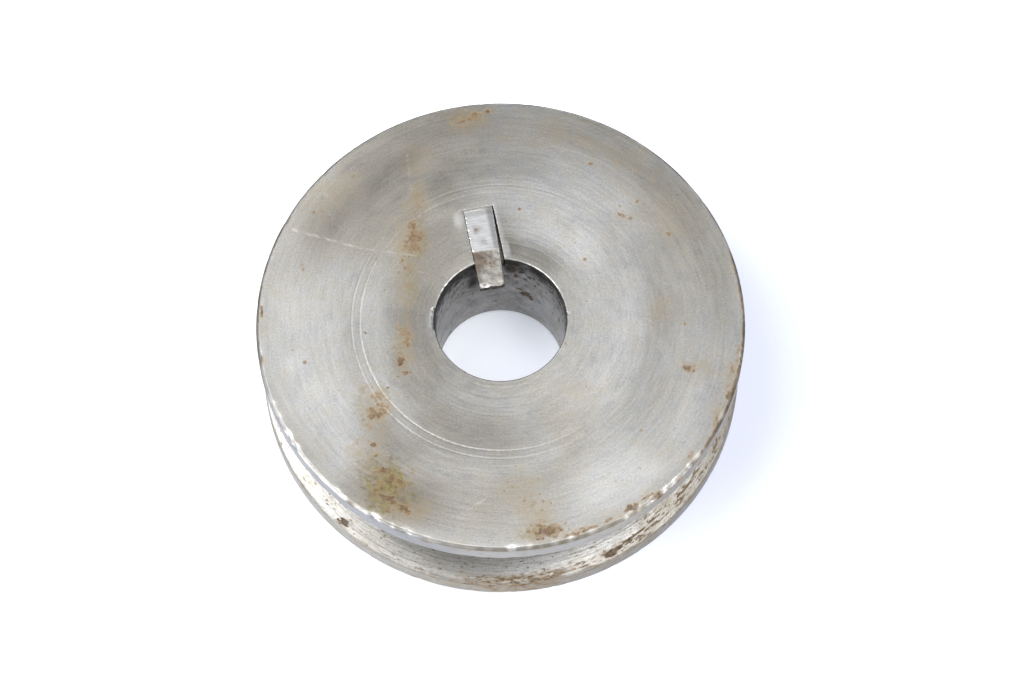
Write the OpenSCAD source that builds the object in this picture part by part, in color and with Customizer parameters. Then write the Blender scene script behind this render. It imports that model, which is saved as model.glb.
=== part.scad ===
// V-belt pulley, single groove, with a separate drive key let into its front face.
// Turned steel. The shaft enters from the back face and is driven by the key's
// free end, which stands into the mouth of the bore.
//
// Frame: millimetres, +Z along the shaft axis towards the front (keyed) face,
// origin at the centre of the bore in the plane of the back face.
// +Y is the direction the key points away from the shaft, less key_angle's tilt.

/* [Rim] */
// Outside diameter over both flanges
outer_d = 76; // [70:0.5:90]
// Overall width, back face to front face
width = 20; // [18:0.5:26]
// Width of each flange's outer land
land_w = 3.6; // [2.6:0.1:4]
// Chamfer on the outer edges
edge_chamfer = 0.5; // [0.2:0.1:0.8]

/* [Belt groove] */
// Included angle of the belt groove, degrees
groove_angle = 34; // [32:1:38]
// Depth of the groove below the outside diameter
groove_depth = 12; // [9:0.5:13]
// Break on the groove's two mouth edges
mouth_break = 0.25; // [0.1:0.05:0.5]
// Corner bevel at the groove's root
root_bevel = 0.6; // [0.2:0.1:1]

/* [Bore] */
// Finished bore that seats the shaft
bore_d = 20; // [16:0.5:22]
// Depth of the relieved mouth on the key side
relief_depth = 2.7; // [2.6:0.1:4]
// Radial size of the relief
relief_step = 0.3; // [0.2:0.05:0.5]
// Lead-in chamfer at the back face
back_chamfer = 0.8; // [0.4:0.1:1.2]
// Small edge break at the front rim of the bore
front_break = 0.15; // [0.1:0.05:0.3]

/* [Front face] */
// Radius of the inner ring turned by the clamp washer's seat
ring_in_r = 21.9; // [20.5:0.1:22.5]
// Radius of the outer ring
ring_out_r = 23.2; // [22.8:0.1:24]
// Width of each ring line
ring_w = 0.3; // [0.2:0.05:0.4]
// Depth of each ring line
ring_deep = 0.12; // [0.05:0.01:0.2]

/* [Key and its slot] */
// Direction of the key, degrees from +X
key_angle = 100.7; // [80:0.1:110]
// Width of the key at its outer end
key_w = 4.5; // [3.8:0.1:4.8]
// Width of the key at its free end
tip_w = 4.0; // [3.6:0.1:4.4]
// Clearance beside the key at the slot's outer end
key_gap = 0.3; // [0.1:0.05:0.6]
// Distance from the axis to the slot's outer end
slot_end_r = 19.5; // [18:0.1:20.2]
// Depth of the slot below the front face
slot_depth = 2.2; // [2:0.1:2.4]
// Distance from the axis to the ridge across the key's top
ridge_r = 12.1; // [11.5:0.1:14]
// Distance from the axis to the key's free end
tip_r = 5.9; // [5:0.1:8]
// Thickness of the key at its free end
tip_t = 1.1; // [0.8:0.1:1.4]

/* [Hidden] */
$fn = 96;
eps = 0.01;
outer_r = outer_d / 2;
bore_r = bore_d / 2;
relief_r = bore_r + relief_step;
half_mouth = width / 2 - land_w;
slope = tan(groove_angle / 2);
root_r = outer_r - groove_depth;
half_root = half_mouth - groove_depth * slope;
floor_z = width - slot_depth;
// the key is seated against the slot's left side, floor and outer end
key_side = 2.1;
slot_w = key_w + key_gap;
// drops of the key's top: at the outer bevel, at the outer end and at the tip
bevel_r = slot_end_r - 1.1;
bevel_drop = 0.2;
end_drop = 0.45;
ridge_drop = 0.02;
tip_drop = 0.45;

// one flange-to-flange half section of the turned body, radius across, axis up
module body_section() {
  polygon([
    [bore_r + back_chamfer, 0],
    [outer_r - edge_chamfer, 0],
    [outer_r, edge_chamfer],
    [outer_r, land_w - mouth_break],
    // lower wall of the belt groove, mouth to root
    [outer_r - mouth_break, land_w + mouth_break * slope + 0.05],
    [root_r + root_bevel, width / 2 - half_root - root_bevel * slope],
    [root_r, width / 2 - half_root + root_bevel * 0.8],
    // root and upper wall
    [root_r, width / 2 + half_root - root_bevel * 0.8],
    [root_r + root_bevel, width / 2 + half_root + root_bevel * slope],
    [outer_r - mouth_break, width - land_w - mouth_break * slope - 0.05],
    [outer_r, width - land_w + mouth_break],
    [outer_r, width - edge_chamfer],
    [outer_r - edge_chamfer, width],
    // the two ring lines on the front face
    [ring_out_r + ring_w / 2, width],
    [ring_out_r, width - ring_deep],
    [ring_out_r - ring_w / 2, width],
    [ring_in_r + ring_w / 2, width],
    [ring_in_r, width - ring_deep],
    [ring_in_r - ring_w / 2, width],
    // mouth of the bore, relieved down to below the key's seat
    [relief_r + front_break, width],
    [relief_r, width - front_break],
    [relief_r, width - relief_depth],
    [bore_r, width - relief_depth],
    [bore_r, back_chamfer]
  ]);
}

// radial slot milled in the front face, from the bore outwards
module key_slot() {
  rotate([0, 0, key_angle])
    translate([bore_r - 3, key_side - slot_w, floor_z])
      cube([slot_end_r - bore_r + 3, slot_w, slot_depth + 1]);
}

// side outline of the key: distance from the axis across, height up
module key_outline() {
  polygon([
    [tip_r, width - tip_drop - tip_t],
    [tip_r, width - tip_drop],
    [ridge_r, width - ridge_drop],
    [bevel_r, width - bevel_drop],
    [slot_end_r, width - end_drop],
    [slot_end_r, floor_z],
    [bore_r - 0.4, floor_z]
  ]);
}

// turned body: two flanges, the belt groove, the bore and the key's slot
module pulley_body() {
  color([0.72, 0.71, 0.68])
    difference() {
      rotate_extrude($fn = 180) body_section();
      key_slot();
    }
}

// wedge taken off the key's free side, so that it narrows towards the shaft
module side_taper() {
  translate([0, 0, floor_z - 1])
    linear_extrude(slot_depth + 2)
      polygon([
        [slot_end_r + 1, key_side - key_w - 1],
        [slot_end_r + 1, key_side - key_w - (key_w - tip_w) / (slot_end_r - tip_r)],
        [tip_r - 1, key_side - tip_w + (key_w - tip_w) / (slot_end_r - tip_r)],
        [tip_r - 1, key_side - key_w - 1]
      ]);
}

// flat drive key lying in the slot, its free end standing into the bore's mouth
module drive_key() {
  color([0.8, 0.79, 0.77])
    rotate([0, 0, key_angle])
      difference() {
        translate([0, key_side, 0])
          rotate([90, 0, 0])
            linear_extrude(key_w) key_outline();
        side_taper();
      }
}

pulley_body();
drive_key();
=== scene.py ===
import math
import bpy
import numpy as np
from mathutils import Matrix, Vector


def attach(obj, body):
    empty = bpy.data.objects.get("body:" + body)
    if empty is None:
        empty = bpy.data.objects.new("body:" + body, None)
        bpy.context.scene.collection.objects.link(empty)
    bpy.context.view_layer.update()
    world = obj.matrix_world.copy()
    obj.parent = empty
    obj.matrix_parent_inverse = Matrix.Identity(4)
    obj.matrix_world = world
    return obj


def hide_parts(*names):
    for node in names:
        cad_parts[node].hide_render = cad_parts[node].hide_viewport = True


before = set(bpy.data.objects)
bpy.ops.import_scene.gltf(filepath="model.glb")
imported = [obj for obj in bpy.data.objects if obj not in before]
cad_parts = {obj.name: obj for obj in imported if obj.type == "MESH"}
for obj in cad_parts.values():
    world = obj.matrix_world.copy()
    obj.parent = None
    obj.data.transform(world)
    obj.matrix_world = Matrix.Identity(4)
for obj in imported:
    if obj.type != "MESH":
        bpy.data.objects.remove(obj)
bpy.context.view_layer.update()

MM = 0.001

# ---------------------------------------------------------------- sizes, mm
R_OUT, WIDTH, LAND, CHAM = 38.0, 20.0, 3.6, 0.5
SLOPE = math.tan(math.radians(17.0))
R_ROOT = 26.0
HALF_ROOT = WIDTH / 2 - LAND - 12.0 * SLOPE
BORE_R, RELIEF_R, RELIEF_Z = 10.0, 10.3, 17.3
KEY_ANG = math.radians(100.7)
KEY_SIDE, KEY_W, TIP_W, SLOT_W, SLOT_END, SLOT_Z = 2.1, 4.5, 4.0, 4.8, 19.5, 17.8
RIDGE_R, TIP_R = 12.1, 5.9
U = np.array([math.cos(KEY_ANG), math.sin(KEY_ANG)])
V = np.array([math.sin(KEY_ANG), -math.cos(KEY_ANG)])   # to the right of the key


# ---------------------------------------------------------------- noise in numpy
def fourier(theta, seed, k0, k1, decay=0.6):
    """Smooth random function of the angle, period one turn, about -1..1."""
    rng = np.random.default_rng(seed)
    out, norm = np.zeros_like(theta), 0.0
    for k in range(k0, k1 + 1):
        a = rng.normal() / (k ** decay)
        out += a * np.cos(k * theta + rng.uniform(0, 2 * math.pi))
        norm += a * a
    return out / max(1e-9, math.sqrt(norm)) * 0.8


def waves(p, seed, scale, n=40):
    """Smooth random field over points (N, 3) in mm, features of about scale mm, about -1..1."""
    rng = np.random.default_rng(seed)
    d = rng.normal(size=(n, 3))
    d /= np.linalg.norm(d, axis=1)[:, None]
    k = d * (2 * math.pi / (scale * rng.uniform(0.8, 2.6, size=(n, 1))))
    ph = rng.uniform(0, 2 * math.pi, n)
    out = np.zeros(len(p))
    for i in range(n):
        out += np.cos(p @ k[i] + ph[i])
    return out / math.sqrt(n) * 1.1


def smooth(x, a, b):
    t = np.clip((x - a) / (b - a), 0, 1)
    return t * t * (3 - 2 * t)


def ang_gap(theta, deg):
    """Signed distance in degrees between angles."""
    return (np.degrees(theta) - deg + 180.0) % 360.0 - 180.0


# ---------------------------------------------------------------- lathe profile
def rounded_profile(corners):
    """Closed outline from (r, z, fillet, spacing): fillets become arcs, straight runs are cut to the spacing that follows the corner."""
    n = len(corners)
    arcs = []
    for i in range(n):
        p0 = np.array(corners[i - 1][:2], float)
        p1 = np.array(corners[i][:2], float)
        p2 = np.array(corners[(i + 1) % n][:2], float)
        f = corners[i][2]
        a, b = (p0 - p1), (p2 - p1)
        la, lb = np.linalg.norm(a), np.linalg.norm(b)
        a, b = a / la, b / lb
        ang = math.acos(max(-1, min(1, float(a @ b))))
        cut = min(f / math.tan(ang / 2), 0.45 * la, 0.45 * lb)
        f = cut * math.tan(ang / 2)
        s, e = p1 + a * cut, p1 + b * cut
        mid = a + b
        c = p1 + mid / np.linalg.norm(mid) * (f / math.sin(ang / 2))
        pts = []
        steps = 5
        v0, v1 = s - c, e - c
        for k in range(steps + 1):
            t = k / steps
            w = math.pi - ang
            x = (math.sin((1 - t) * w) * v0 + math.sin(t * w) * v1) / math.sin(w)
            pts.append(c + x)
        arcs.append(pts)
    out = []
    for i in range(n):
        out += arcs[i]
        s, e = arcs[i][-1], arcs[(i + 1) % n][0]
        ln = np.linalg.norm(e - s)
        step = corners[i][3]
        m = max(1, int(round(ln / step)))
        # finer next to the fillets so shading stays crisp
        ts = [k / m for k in range(1, m)]
        extra = [0.06 / ln, 0.16 / ln, 1 - 0.16 / ln, 1 - 0.06 / ln] if ln > 0.8 else []
        for t in sorted(set(ts + extra)):
            if 0 < t < 1:
                out.append(s + (e - s) * t)
    return np.array(out)


H = HALF_ROOT
CORNERS = [
    # back face
    (BORE_R + 0.8, 0.0, 0.06, 0.30),
    (R_OUT - CHAM, 0.0, 0.08, 0.12),
    (R_OUT, CHAM, 0.10, 0.14),
    # back land, groove, front land
    (R_OUT, LAND - 0.25, 0.08, 0.10),
    (R_OUT - 0.25, LAND + 0.126, 0.08, 0.105),
    (R_ROOT + 0.6, WIDTH / 2 - H - 0.183, 0.30, 0.2),
    (R_ROOT, WIDTH / 2 - H + 0.48, 0.30, 0.3),
    (R_ROOT, WIDTH / 2 + H - 0.48, 0.30, 0.2),
    (R_ROOT + 0.6, WIDTH / 2 + H + 0.183, 0.30, 0.16),
    (R_OUT - 0.25, WIDTH - LAND - 0.126, 0.08, 0.10),
    (R_OUT, WIDTH - LAND + 0.25, 0.08, 0.14),
    (R_OUT, WIDTH - CHAM, 0.10, 0.10),
    # front face
    (R_OUT - CHAM, WIDTH, 0.08, 0.125),
    # bore, front to back
    (RELIEF_R + 0.15, WIDTH, 0.04, 0.1),
    (RELIEF_R, WIDTH - 0.15, 0.04, 0.2),
    (RELIEF_R, RELIEF_Z + 1.7, 0.6, 0.2),
    (BORE_R, RELIEF_Z - 0.7, 0.8, 0.28),
    (BORE_R, 0.8, 0.06, 0.14),
]


def turned_body():
    prof = rounded_profile(CORNERS)
    nt = 720
    th = np.arange(nt) * (2 * math.pi / nt)
    n = len(prof)
    # outward normals of the outline
    d = np.roll(prof, -1, 0) - np.roll(prof, 1, 0)
    nrm = np.stack([d[:, 1], -d[:, 0]], 1)
    nrm /= np.linalg.norm(nrm, axis=1)[:, None]
    r0 = np.repeat(prof[:, 0][:, None], nt, 1)
    z0 = np.repeat(prof[:, 1][:, None], nt, 1)
    T = np.repeat(th[None, :], n, 0)
    arc = np.concatenate([[0], np.cumsum(np.linalg.norm(np.diff(prof, axis=0), axis=1))])
    S = np.repeat(arc[:, None], nt, 1)
    disp = np.zeros_like(r0)          # along the normal, mm, inward is negative

    face = smooth(z0, WIDTH - 0.02, WIDTH - 0.005) * smooth(r0, 10.5, 10.8) * (1 - smooth(r0, 37.3, 37.5))
    back = (z0 < 0.01) * (r0 > 10.9) * (r0 < 37.4)
    wall = (r0 > 26.8) * (r0 < 37.7) * (z0 > 3.0) * (z0 < 17.0)
    low = wall * (z0 < 10)

    # turning marks: rings that drift slowly round the turn
    rng = np.random.default_rng(5)
    def rings(n_lines, lo, hi, width, depth, seed, coord, drift=0.0):
        g = np.random.default_rng(seed)
        out = np.zeros_like(r0)
        for _ in range(n_lines):
            c = g.uniform(lo, hi)
            w = width * g.uniform(0.5, 1.6)
            dep = depth * g.uniform(0.2, 1.0) ** 1.5
            a0 = g.uniform(0, 2 * math.pi)
            amp = 0.55 + 0.45 * np.cos(T - a0) if g.uniform() < 0.7 else 1.0
            x = (coord - c - drift * np.cos(T + a0)) / w
            out -= dep * amp * np.exp(-x * x)
        return out

    disp += face * rings(60, 10.6, 17.5, 0.07, 0.006, 11, r0, 0.01)
    disp += face * rings(70, 17.5, 37.2, 0.07, 0.003, 12, r0, 0.02)
    # the washer's witness: two firm ring lines and a few faint ones between and outside them
    for c, w, dep, off in ((21.9, 0.10, 0.032, 1.2), (22.25, 0.07, 0.010, 3.0), (22.6, 0.07, 0.010, 4.4),
                           (23.2, 0.10, 0.024, 0.6), (23.6, 0.07, 0.008, 2.0), (23.95, 0.07, 0.010, 5.0), (21.5, 0.07, 0.008, 4.0)):
        amp = 0.62 + 0.38 * np.cos(T - off - 2.6)
        disp -= face * dep * amp * np.exp(-((r0 - c) / w) ** 2)
    disp += back * rings(70, 11.0, 37.3, 0.14, 0.010, 13, r0, 0.02)
    # groove walls: coarse feed marks and torn rings
    disp += wall * rings(70, 26.9, 37.6, 0.10, 0.016, 14, r0, 0.03)
    disp += wall * 0.003 * np.cos(2 * math.pi * S / 0.42 + 0.6 * np.cos(T))
    # lands and root, turned finer
    land = (r0 > 37.95) * 1.0
    disp -= land * 0.004 * (1 + np.cos(2 * math.pi * z0 / 0.33 + T))
    # bore: axial rings from the drill and reamer
    bore = (r0 < 10.35) * (z0 < 19.8) * (z0 > 0.9)
    disp += bore * rings(26, 0.9, 19.6, 0.16, 0.010, 15, z0, 0.05)

    # wear and chips on the four outer edges: the corner is pressed back
    def edge(rc, zc, wid, dr, dz, depth_theta):
        q = np.hypot(r0 - rc, z0 - zc)
        f = np.exp(-(q / wid) ** 2) * depth_theta
        return dr * f, dz * f

    def chips(seed, n_small, big):
        g = np.random.default_rng(seed)
        out = np.zeros(nt)
        for _ in range(n_small):
            c, w = g.uniform(0, 360), g.uniform(0.25, 1.1)
            out += g.uniform(0.02, 0.14) * np.exp(-(ang_gap(th, c) / w) ** 2)
        for c, w, dep in big:
            out += dep * np.exp(-(ang_gap(th, c) / w) ** 2)
        return out

    DR, DZ = np.zeros_like(r0), np.zeros_like(r0)
    top_chips = chips(21, 70, [(210, 0.9, 0.30), (213.5, 0.5, 0.22), (239, 1.0, 0.32), (272, 0.9, 0.34), (286, 0.7, 0.2),
                               (300, 0.9, 0.16), (303.5, 1.0, 0.20), (307.5, 1.3, 0.30), (311, 0.8, 0.16), (315, 0.9, 0.22),
                               (319, 0.6, 0.22), (334, 0.8, 0.22), (346, 0.6, 0.2), (188, 0.6, 0.16), (126, 0.5, 0.14)])
    top_chips = top_chips * (0.75 + 0.5 * fourier(th, 31, 40, 160, 0.2)) + 0.03 + 0.02 * fourier(th, 32, 3, 60)
    top_chips = np.clip(top_chips, 0, 0.6)
    a, b = edge(R_OUT - 0.2, WIDTH - 0.2, 0.42, -0.72, -0.72, top_chips[None, :])
    DR += a; DZ += b
    lip = np.clip(chips(22, 60, [(302, 1.0, 0.16), (228, 1.2, 0.14), (262, 2.0, 0.14), (290, 1.4, 0.16)]) + 0.02, 0, 0.3)
    for zc, sg in ((WIDTH - LAND + 0.05, 1), (LAND - 0.05, -1)):
        a, b = edge(R_OUT - 0.05, zc, 0.3, -0.7, sg * 0.6, lip[None, :])
        DR += a; DZ += b
    low_chips = np.clip(chips(23, 70, [(250, 0.8, 0.25), (330, 0.9, 0.3), (60, 1.2, 0.35), (140, 0.8, 0.3)]) + 0.03, 0, 0.5)
    a, b = edge(R_OUT - 0.2, 0.2, 0.42, -0.72, 0.72, low_chips[None, :])
    DR += a; DZ += b
    # bore mouth: a dent on the left and small nicks
    g = ang_gap(th, 178.5)
    dent = 0.36 * smooth(-np.abs(g), -11.5, -7.5) * (0.85 + 0.15 * fourier(th, 41, 30, 90, 0.1))
    dent += chips(24, 10, []) * 0.12 + chips(25, 0, [(5, 1.2, 0.06), (147, 1.3, 0.05), (205, 1.8, 0.05)]) + 0.015
    a, b = edge(RELIEF_R + 0.05, WIDTH - 0.05, 0.40, 0.75, -0.8, dent[None, :])
    DR += a; DZ += b

    r = r0 + nrm[:, 0][:, None] * disp + DR
    z = z0 + nrm[:, 1][:, None] * disp + DZ
    # keep every point inside the solid's own box
    r = np.minimum(r, R_OUT)
    z = np.clip(z, 0.0, WIDTH)

    verts = np.stack([r * np.cos(T), r * np.sin(T), z], 2).reshape(-1, 3) * MM
    i, j = np.meshgrid(np.arange(n), np.arange(nt), indexing="ij")
    i2, j2 = (i + 1) % n, (j + 1) % nt
    f = np.stack([i * nt + j, i2 * nt + j, i2 * nt + j2, i * nt + j2], 2).reshape(-1, 4)
    me = bpy.data.meshes.new("pulley_body_turned")
    me.vertices.add(len(verts)); me.vertices.foreach_set("co", verts.ravel())
    me.loops.add(f.size); me.loops.foreach_set("vertex_index", f.ravel().astype(np.int32))
    me.polygons.add(len(f))
    me.polygons.foreach_set("loop_start", np.arange(0, f.size, 4, dtype=np.int32))
    me.update(calc_edges=True)
    me.validate()
    return me


def mesh_from(name, verts_mm, faces):
    me = bpy.data.meshes.new(name)
    me.from_pydata([tuple(np.asarray(v, float) * MM) for v in verts_mm], [], faces)
    me.update()
    return me


def flip_if_inside_out(me):
    import bmesh
    bm = bmesh.new(); bm.from_mesh(me)
    if bm.calc_volume(signed=True) < 0:
        bmesh.ops.reverse_faces(bm, faces=bm.faces)
    bm.to_mesh(me); bm.free(); me.update()


def slot_cutter():
    """The milled slot's own volume, slightly flared at the face, with wavy side lines."""
    ns = 90
    us = np.linspace(8.0, SLOT_END, ns)
    zs = np.array([SLOT_Z, SLOT_Z + 0.5, SLOT_Z + 1.1, SLOT_Z + 1.7, 19.72, 19.86, 19.96, 20.4])
    flare = np.array([0, 0, 0, 0, 0.0, 0.05, 0.14, 0.30])
    left, right = -KEY_SIDE, -KEY_SIDE + SLOT_W
    g = np.random.default_rng(61)
    wl = sum(g.normal() * 0.008 * np.cos(us * k + g.uniform(0, 6)) for k in (1.1, 2.3, 4.1))
    wr = sum(g.normal() * 0.010 * np.cos(us * k + g.uniform(0, 6)) for k in (0.9, 2.0, 4.7))
    verts, idx = [], {}
    nz = len(zs)
    nv = 14
    def add(p):
        verts.append(p); return len(verts) - 1
    ring = []
    for s, u in enumerate(us):
        row = []
        grow = smooth(np.array([u]), 9.0, 11.5)[0]
        for k in range(nz):                       # up the left side
            uu = u + (flare[k] * 0.3 if s == ns - 1 else 0)
            row.append(add([uu, left + wl[s] * (k > 3) - flare[k] * 0.35, zs[k]]))
        for q in range(1, nv):                    # across the top
            t = q / nv
            uu = u + (flare[-1] * 0.3 if s == ns - 1 else 0)
            row.append(add([uu, (left - flare[-1] * 0.35) * (1 - t) + (right + flare[-1] * 0.3 - 0.05) * t, zs[-1]]))
        for k in range(nz - 1, -1, -1):           # down the right side
            uu = u + (flare[k] * 0.3 if s == ns - 1 else 0)
            row.append(add([uu, right + wr[s] * (k > 3) + flare[k] * 0.3 - 0.05, zs[k]]))
        for q in range(nv - 1, 0, -1):            # back across the floor
            t = q / nv
            row.append(add([u, left * (1 - t) + right * t, zs[0]]))
        ring.append(row)
    m = len(ring[0])
    faces = []
    for s in range(ns - 1):
        for k in range(m):
            faces.append([ring[s][k], ring[s][(k + 1) % m], ring[s + 1][(k + 1) % m], ring[s + 1][k]])
    faces.append(ring[0][::-1]); faces.append(ring[-1])
    P = np.array(verts)
    xy = P[:, 0:1] * U + P[:, 1:2] * V
    me = mesh_from("cut", np.concatenate([xy, P[:, 2:3]], 1), faces)
    flip_if_inside_out(me)
    return me


def key_top(u):
    """Height of the key's top above the back face, mm: bevel, ground facet, ridge, dull facet."""
    return np.interp(u, [TIP_R, TIP_R + 1.2, 9.0, RIDGE_R, 18.35, SLOT_END - 0.02],
                     [19.50, 19.62, 19.78, 19.985, 19.80, 19.55])


def key_bottom(u):
    return np.interp(u, [TIP_R, 7.4, 9.4, 9.75, SLOT_END], [18.52, 18.32, 17.92, 17.81, 17.81])


def key_mesh():
    """Flat bar lofted along its length; the free end is a torn, uneven edge."""
    us = np.concatenate([np.linspace(TIP_R, TIP_R + 0.3, 8), np.linspace(TIP_R + 0.36, RIDGE_R - 0.12, 74),
                         np.linspace(RIDGE_R - 0.08, RIDGE_R + 0.08, 7), np.linspace(RIDGE_R + 0.14, 18.2, 66),
                         np.linspace(18.26, 18.44, 6), np.linspace(18.52, SLOT_END - 0.02, 14)])
    half, c = KEY_W / 2, 0.16
    nv, nz, na = 34, 16, 5
    sec = []                                   # unit section: (v, s, zone) with s 0 bottom 1 top
    def arcpts(cv, cz, a0, a1):
        return [(cv, cz, math.radians(a0 + (a1 - a0) * k / na)) for k in range(na + 1)]
    rows = []
    g = np.random.default_rng(71)
    ph = g.uniform(0, 6.28, 12)
    for s, u in enumerate(us):
        zt, zb = float(key_top(u)), float(key_bottom(u))
        ct = c * (0.40 if u > RIDGE_R else 0.9 + 0.5 * smooth(np.array([u]), 10, 6)[0])
        cb = 0.10
        pts = []
        for k in range(nv + 1):                # top, left to right
            pts.append((-half + ct + (2 * half - 2 * ct) * k / nv, zt))
        for _, _, a in arcpts(0, 0, 90, 0)[1:]:
            pts.append((half - ct + ct * math.cos(a), zt - ct + ct * math.sin(a)))
        for k in range(1, nz):
            pts.append((half, zt - ct + (zb + cb - zt + ct) * k / nz))
        for _, _, a in arcpts(0, 0, 0, -90):
            pts.append((half - cb + cb * math.cos(a), zb + cb + cb * math.sin(a)))
        for k in range(1, nv):
            pts.append((half - cb - (2 * half - 2 * cb) * k / nv, zb))
        for _, _, a in arcpts(0, 0, -90, -180):
            pts.append((-half + cb + cb * math.cos(a), zb + cb + cb * math.sin(a)))
        for k in range(1, nz):
            pts.append((-half, zb + cb + (zt - ct - zb - cb) * k / nz))
        for _, _, a in arcpts(0, 0, 180, 90)[:-1]:
            pts.append((-half + ct + ct * math.cos(a), zt - ct + ct * math.sin(a)))
        rows.append([(u, v, z) for v, z in pts])
    P = np.array(rows)                          # stations, ring, 3
    uu, vv, zz = P[..., 0].copy(), P[..., 1].copy(), P[..., 2].copy()
    wide = np.interp(uu, [TIP_R, SLOT_END], [TIP_W, KEY_W + 0.13]) - 0.03
    real_v = -KEY_SIDE + 0.015 + (vv + half) / (2 * half) * wide
    # the right side leans out towards the slot's wall, below the top edge
    down = smooth(key_top(uu) - zz, 0.10, 0.85)
    room = np.clip(-KEY_SIDE + SLOT_W - 0.09 - (-KEY_SIDE + 0.015 + wide), 0, None) * smooth(uu, 9.4, 10.4)
    real_v = real_v + room * down * smooth(vv, half - 0.35, half - 0.02)
    topness = smooth(zz - key_bottom(uu), 0.35 * (key_top(uu) - key_bottom(uu)), 0.9 * (key_top(uu) - key_bottom(uu)))
    flat = P.reshape(-1, 3)
    n1 = waves(flat, 81, 1.1).reshape(uu.shape)
    n2 = waves(flat, 82, 0.45).reshape(uu.shape)
    # torn end: the tip line steps in and out across the width, most at the top edge
    tear = 0.10 + 0.10 * np.cos(vv * 1.9 + 0.7) + 0.05 * np.cos(vv * 5.3 + 2.0) + 0.02 * np.cos(vv * 11.0 + 1.0)
    tear += 0.16 * smooth(vv, -1.0, -2.1) + 0.10 * smooth(vv, 1.5, 2.1)
    near_tip = smooth(-uu, -(TIP_R + 2.2), -TIP_R)
    uu = uu + near_tip * np.clip(tear + 0.035 * n2, 0.0, 1.2) * (0.55 + 0.45 * topness)
    lip = smooth(-P[..., 0], -(TIP_R + 0.75), -(TIP_R + 0.05))
    zz = zz - lip * topness * (0.10 + 0.05 * np.abs(n2) + 0.10 * smooth(vv, -0.2, -1.6))
    # dull facet: hammered and pitted; ground facet nearly flat with faint cross grinding
    dull = smooth(-P[..., 0], -(RIDGE_R + 0.02), -(RIDGE_R - 0.25))
    zz = zz - dull * topness * (0.030 * (1 + n1) + 0.014 * (1 + n2))
    bright = 1 - dull
    zz = zz - bright * topness * (0.006 * (1 + n1) + 0.003 * (1 + np.cos(P[..., 0] * 14.0 + 0.8 * vv)))
    # edges of the ground facet carry small nicks
    edge_l = np.exp(-((vv + half) / 0.14) ** 2)
    edge_r = np.exp(-((vv - half) / 0.14) ** 2)
    nick = np.clip(np.cos(P[..., 0] * 5.1 + 1) + np.cos(P[..., 0] * 8.7) - 0.9, 0, 1)
    zz = zz - topness * (edge_l * 0.07 * nick + edge_r * 0.03 * nick)
    vv = real_v + topness * edge_l * 0.04 * nick * bright
    zz = np.minimum(zz, WIDTH - 0.004)
    m = P.shape[1]
    verts = np.stack([uu, vv, zz], 2).reshape(-1, 3).tolist()
    faces = []
    ns = len(us)
    for s in range(ns - 1):
        for k in range(m):
            faces.append([s * m + k, (s + 1) * m + k, (s + 1) * m + (k + 1) % m, s * m + (k + 1) % m])
    # end caps as shrinking loops
    for s, order in ((0, 1), (ns - 1, -1)):
        base = [s * m + k for k in range(m)]
        cen = np.array([verts[b] for b in base]).mean(0)
        prev = base
        for t in (0.25, 0.5, 0.75, 0.93):
            loop = []
            for b in base:
                p = np.array(verts[b]) * (1 - t) + cen * t
                if s == 0:
                    p[0] += 0.10 * math.sin(p[1] * 4.0) * t + 0.12 * t
                verts.append(p.tolist()); loop.append(len(verts) - 1)
            for k in range(m):
                q = [prev[k], prev[(k + 1) % m], loop[(k + 1) % m], loop[k]]
                faces.append(q if order > 0 else q[::-1])
            prev = loop
        verts.append((cen + (np.array([0.12, 0, 0]) if s == 0 else 0)).tolist())
        cidx = len(verts) - 1
        for k in range(m):
            q = [prev[k], prev[(k + 1) % m], cidx]
            faces.append(q if order > 0 else q[::-1])
    Q = np.array(verts)
    xy = Q[:, 0:1] * U + Q[:, 1:2] * V
    me = mesh_from("drive_key_bar", np.concatenate([xy, Q[:, 2:3]], 1), faces)
    flip_if_inside_out(me)
    return me


# ---------------------------------------------------------------- painted masks, from round numbers in mm
def ellipse(x, y, cx, cy, ax, ay, turn, ragged, p, seed):
    """1 in the middle of a blot, 0 outside, with a ragged edge."""
    c, s = math.cos(math.radians(turn)), math.sin(math.radians(turn))
    dx, dy = x - cx, y - cy
    q = np.hypot((dx * c + dy * s) / ax, (-dx * s + dy * c) / ay)
    near = q < 2.2
    out = np.zeros_like(x)
    if near.any():
        n = waves(p[near], seed, 0.9, 26) * 0.5 + waves(p[near], seed + 1, 0.4, 26) * 0.5
        out[near] = smooth(-(q[near] + ragged * n), -1.15, -0.35)
    return out


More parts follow.
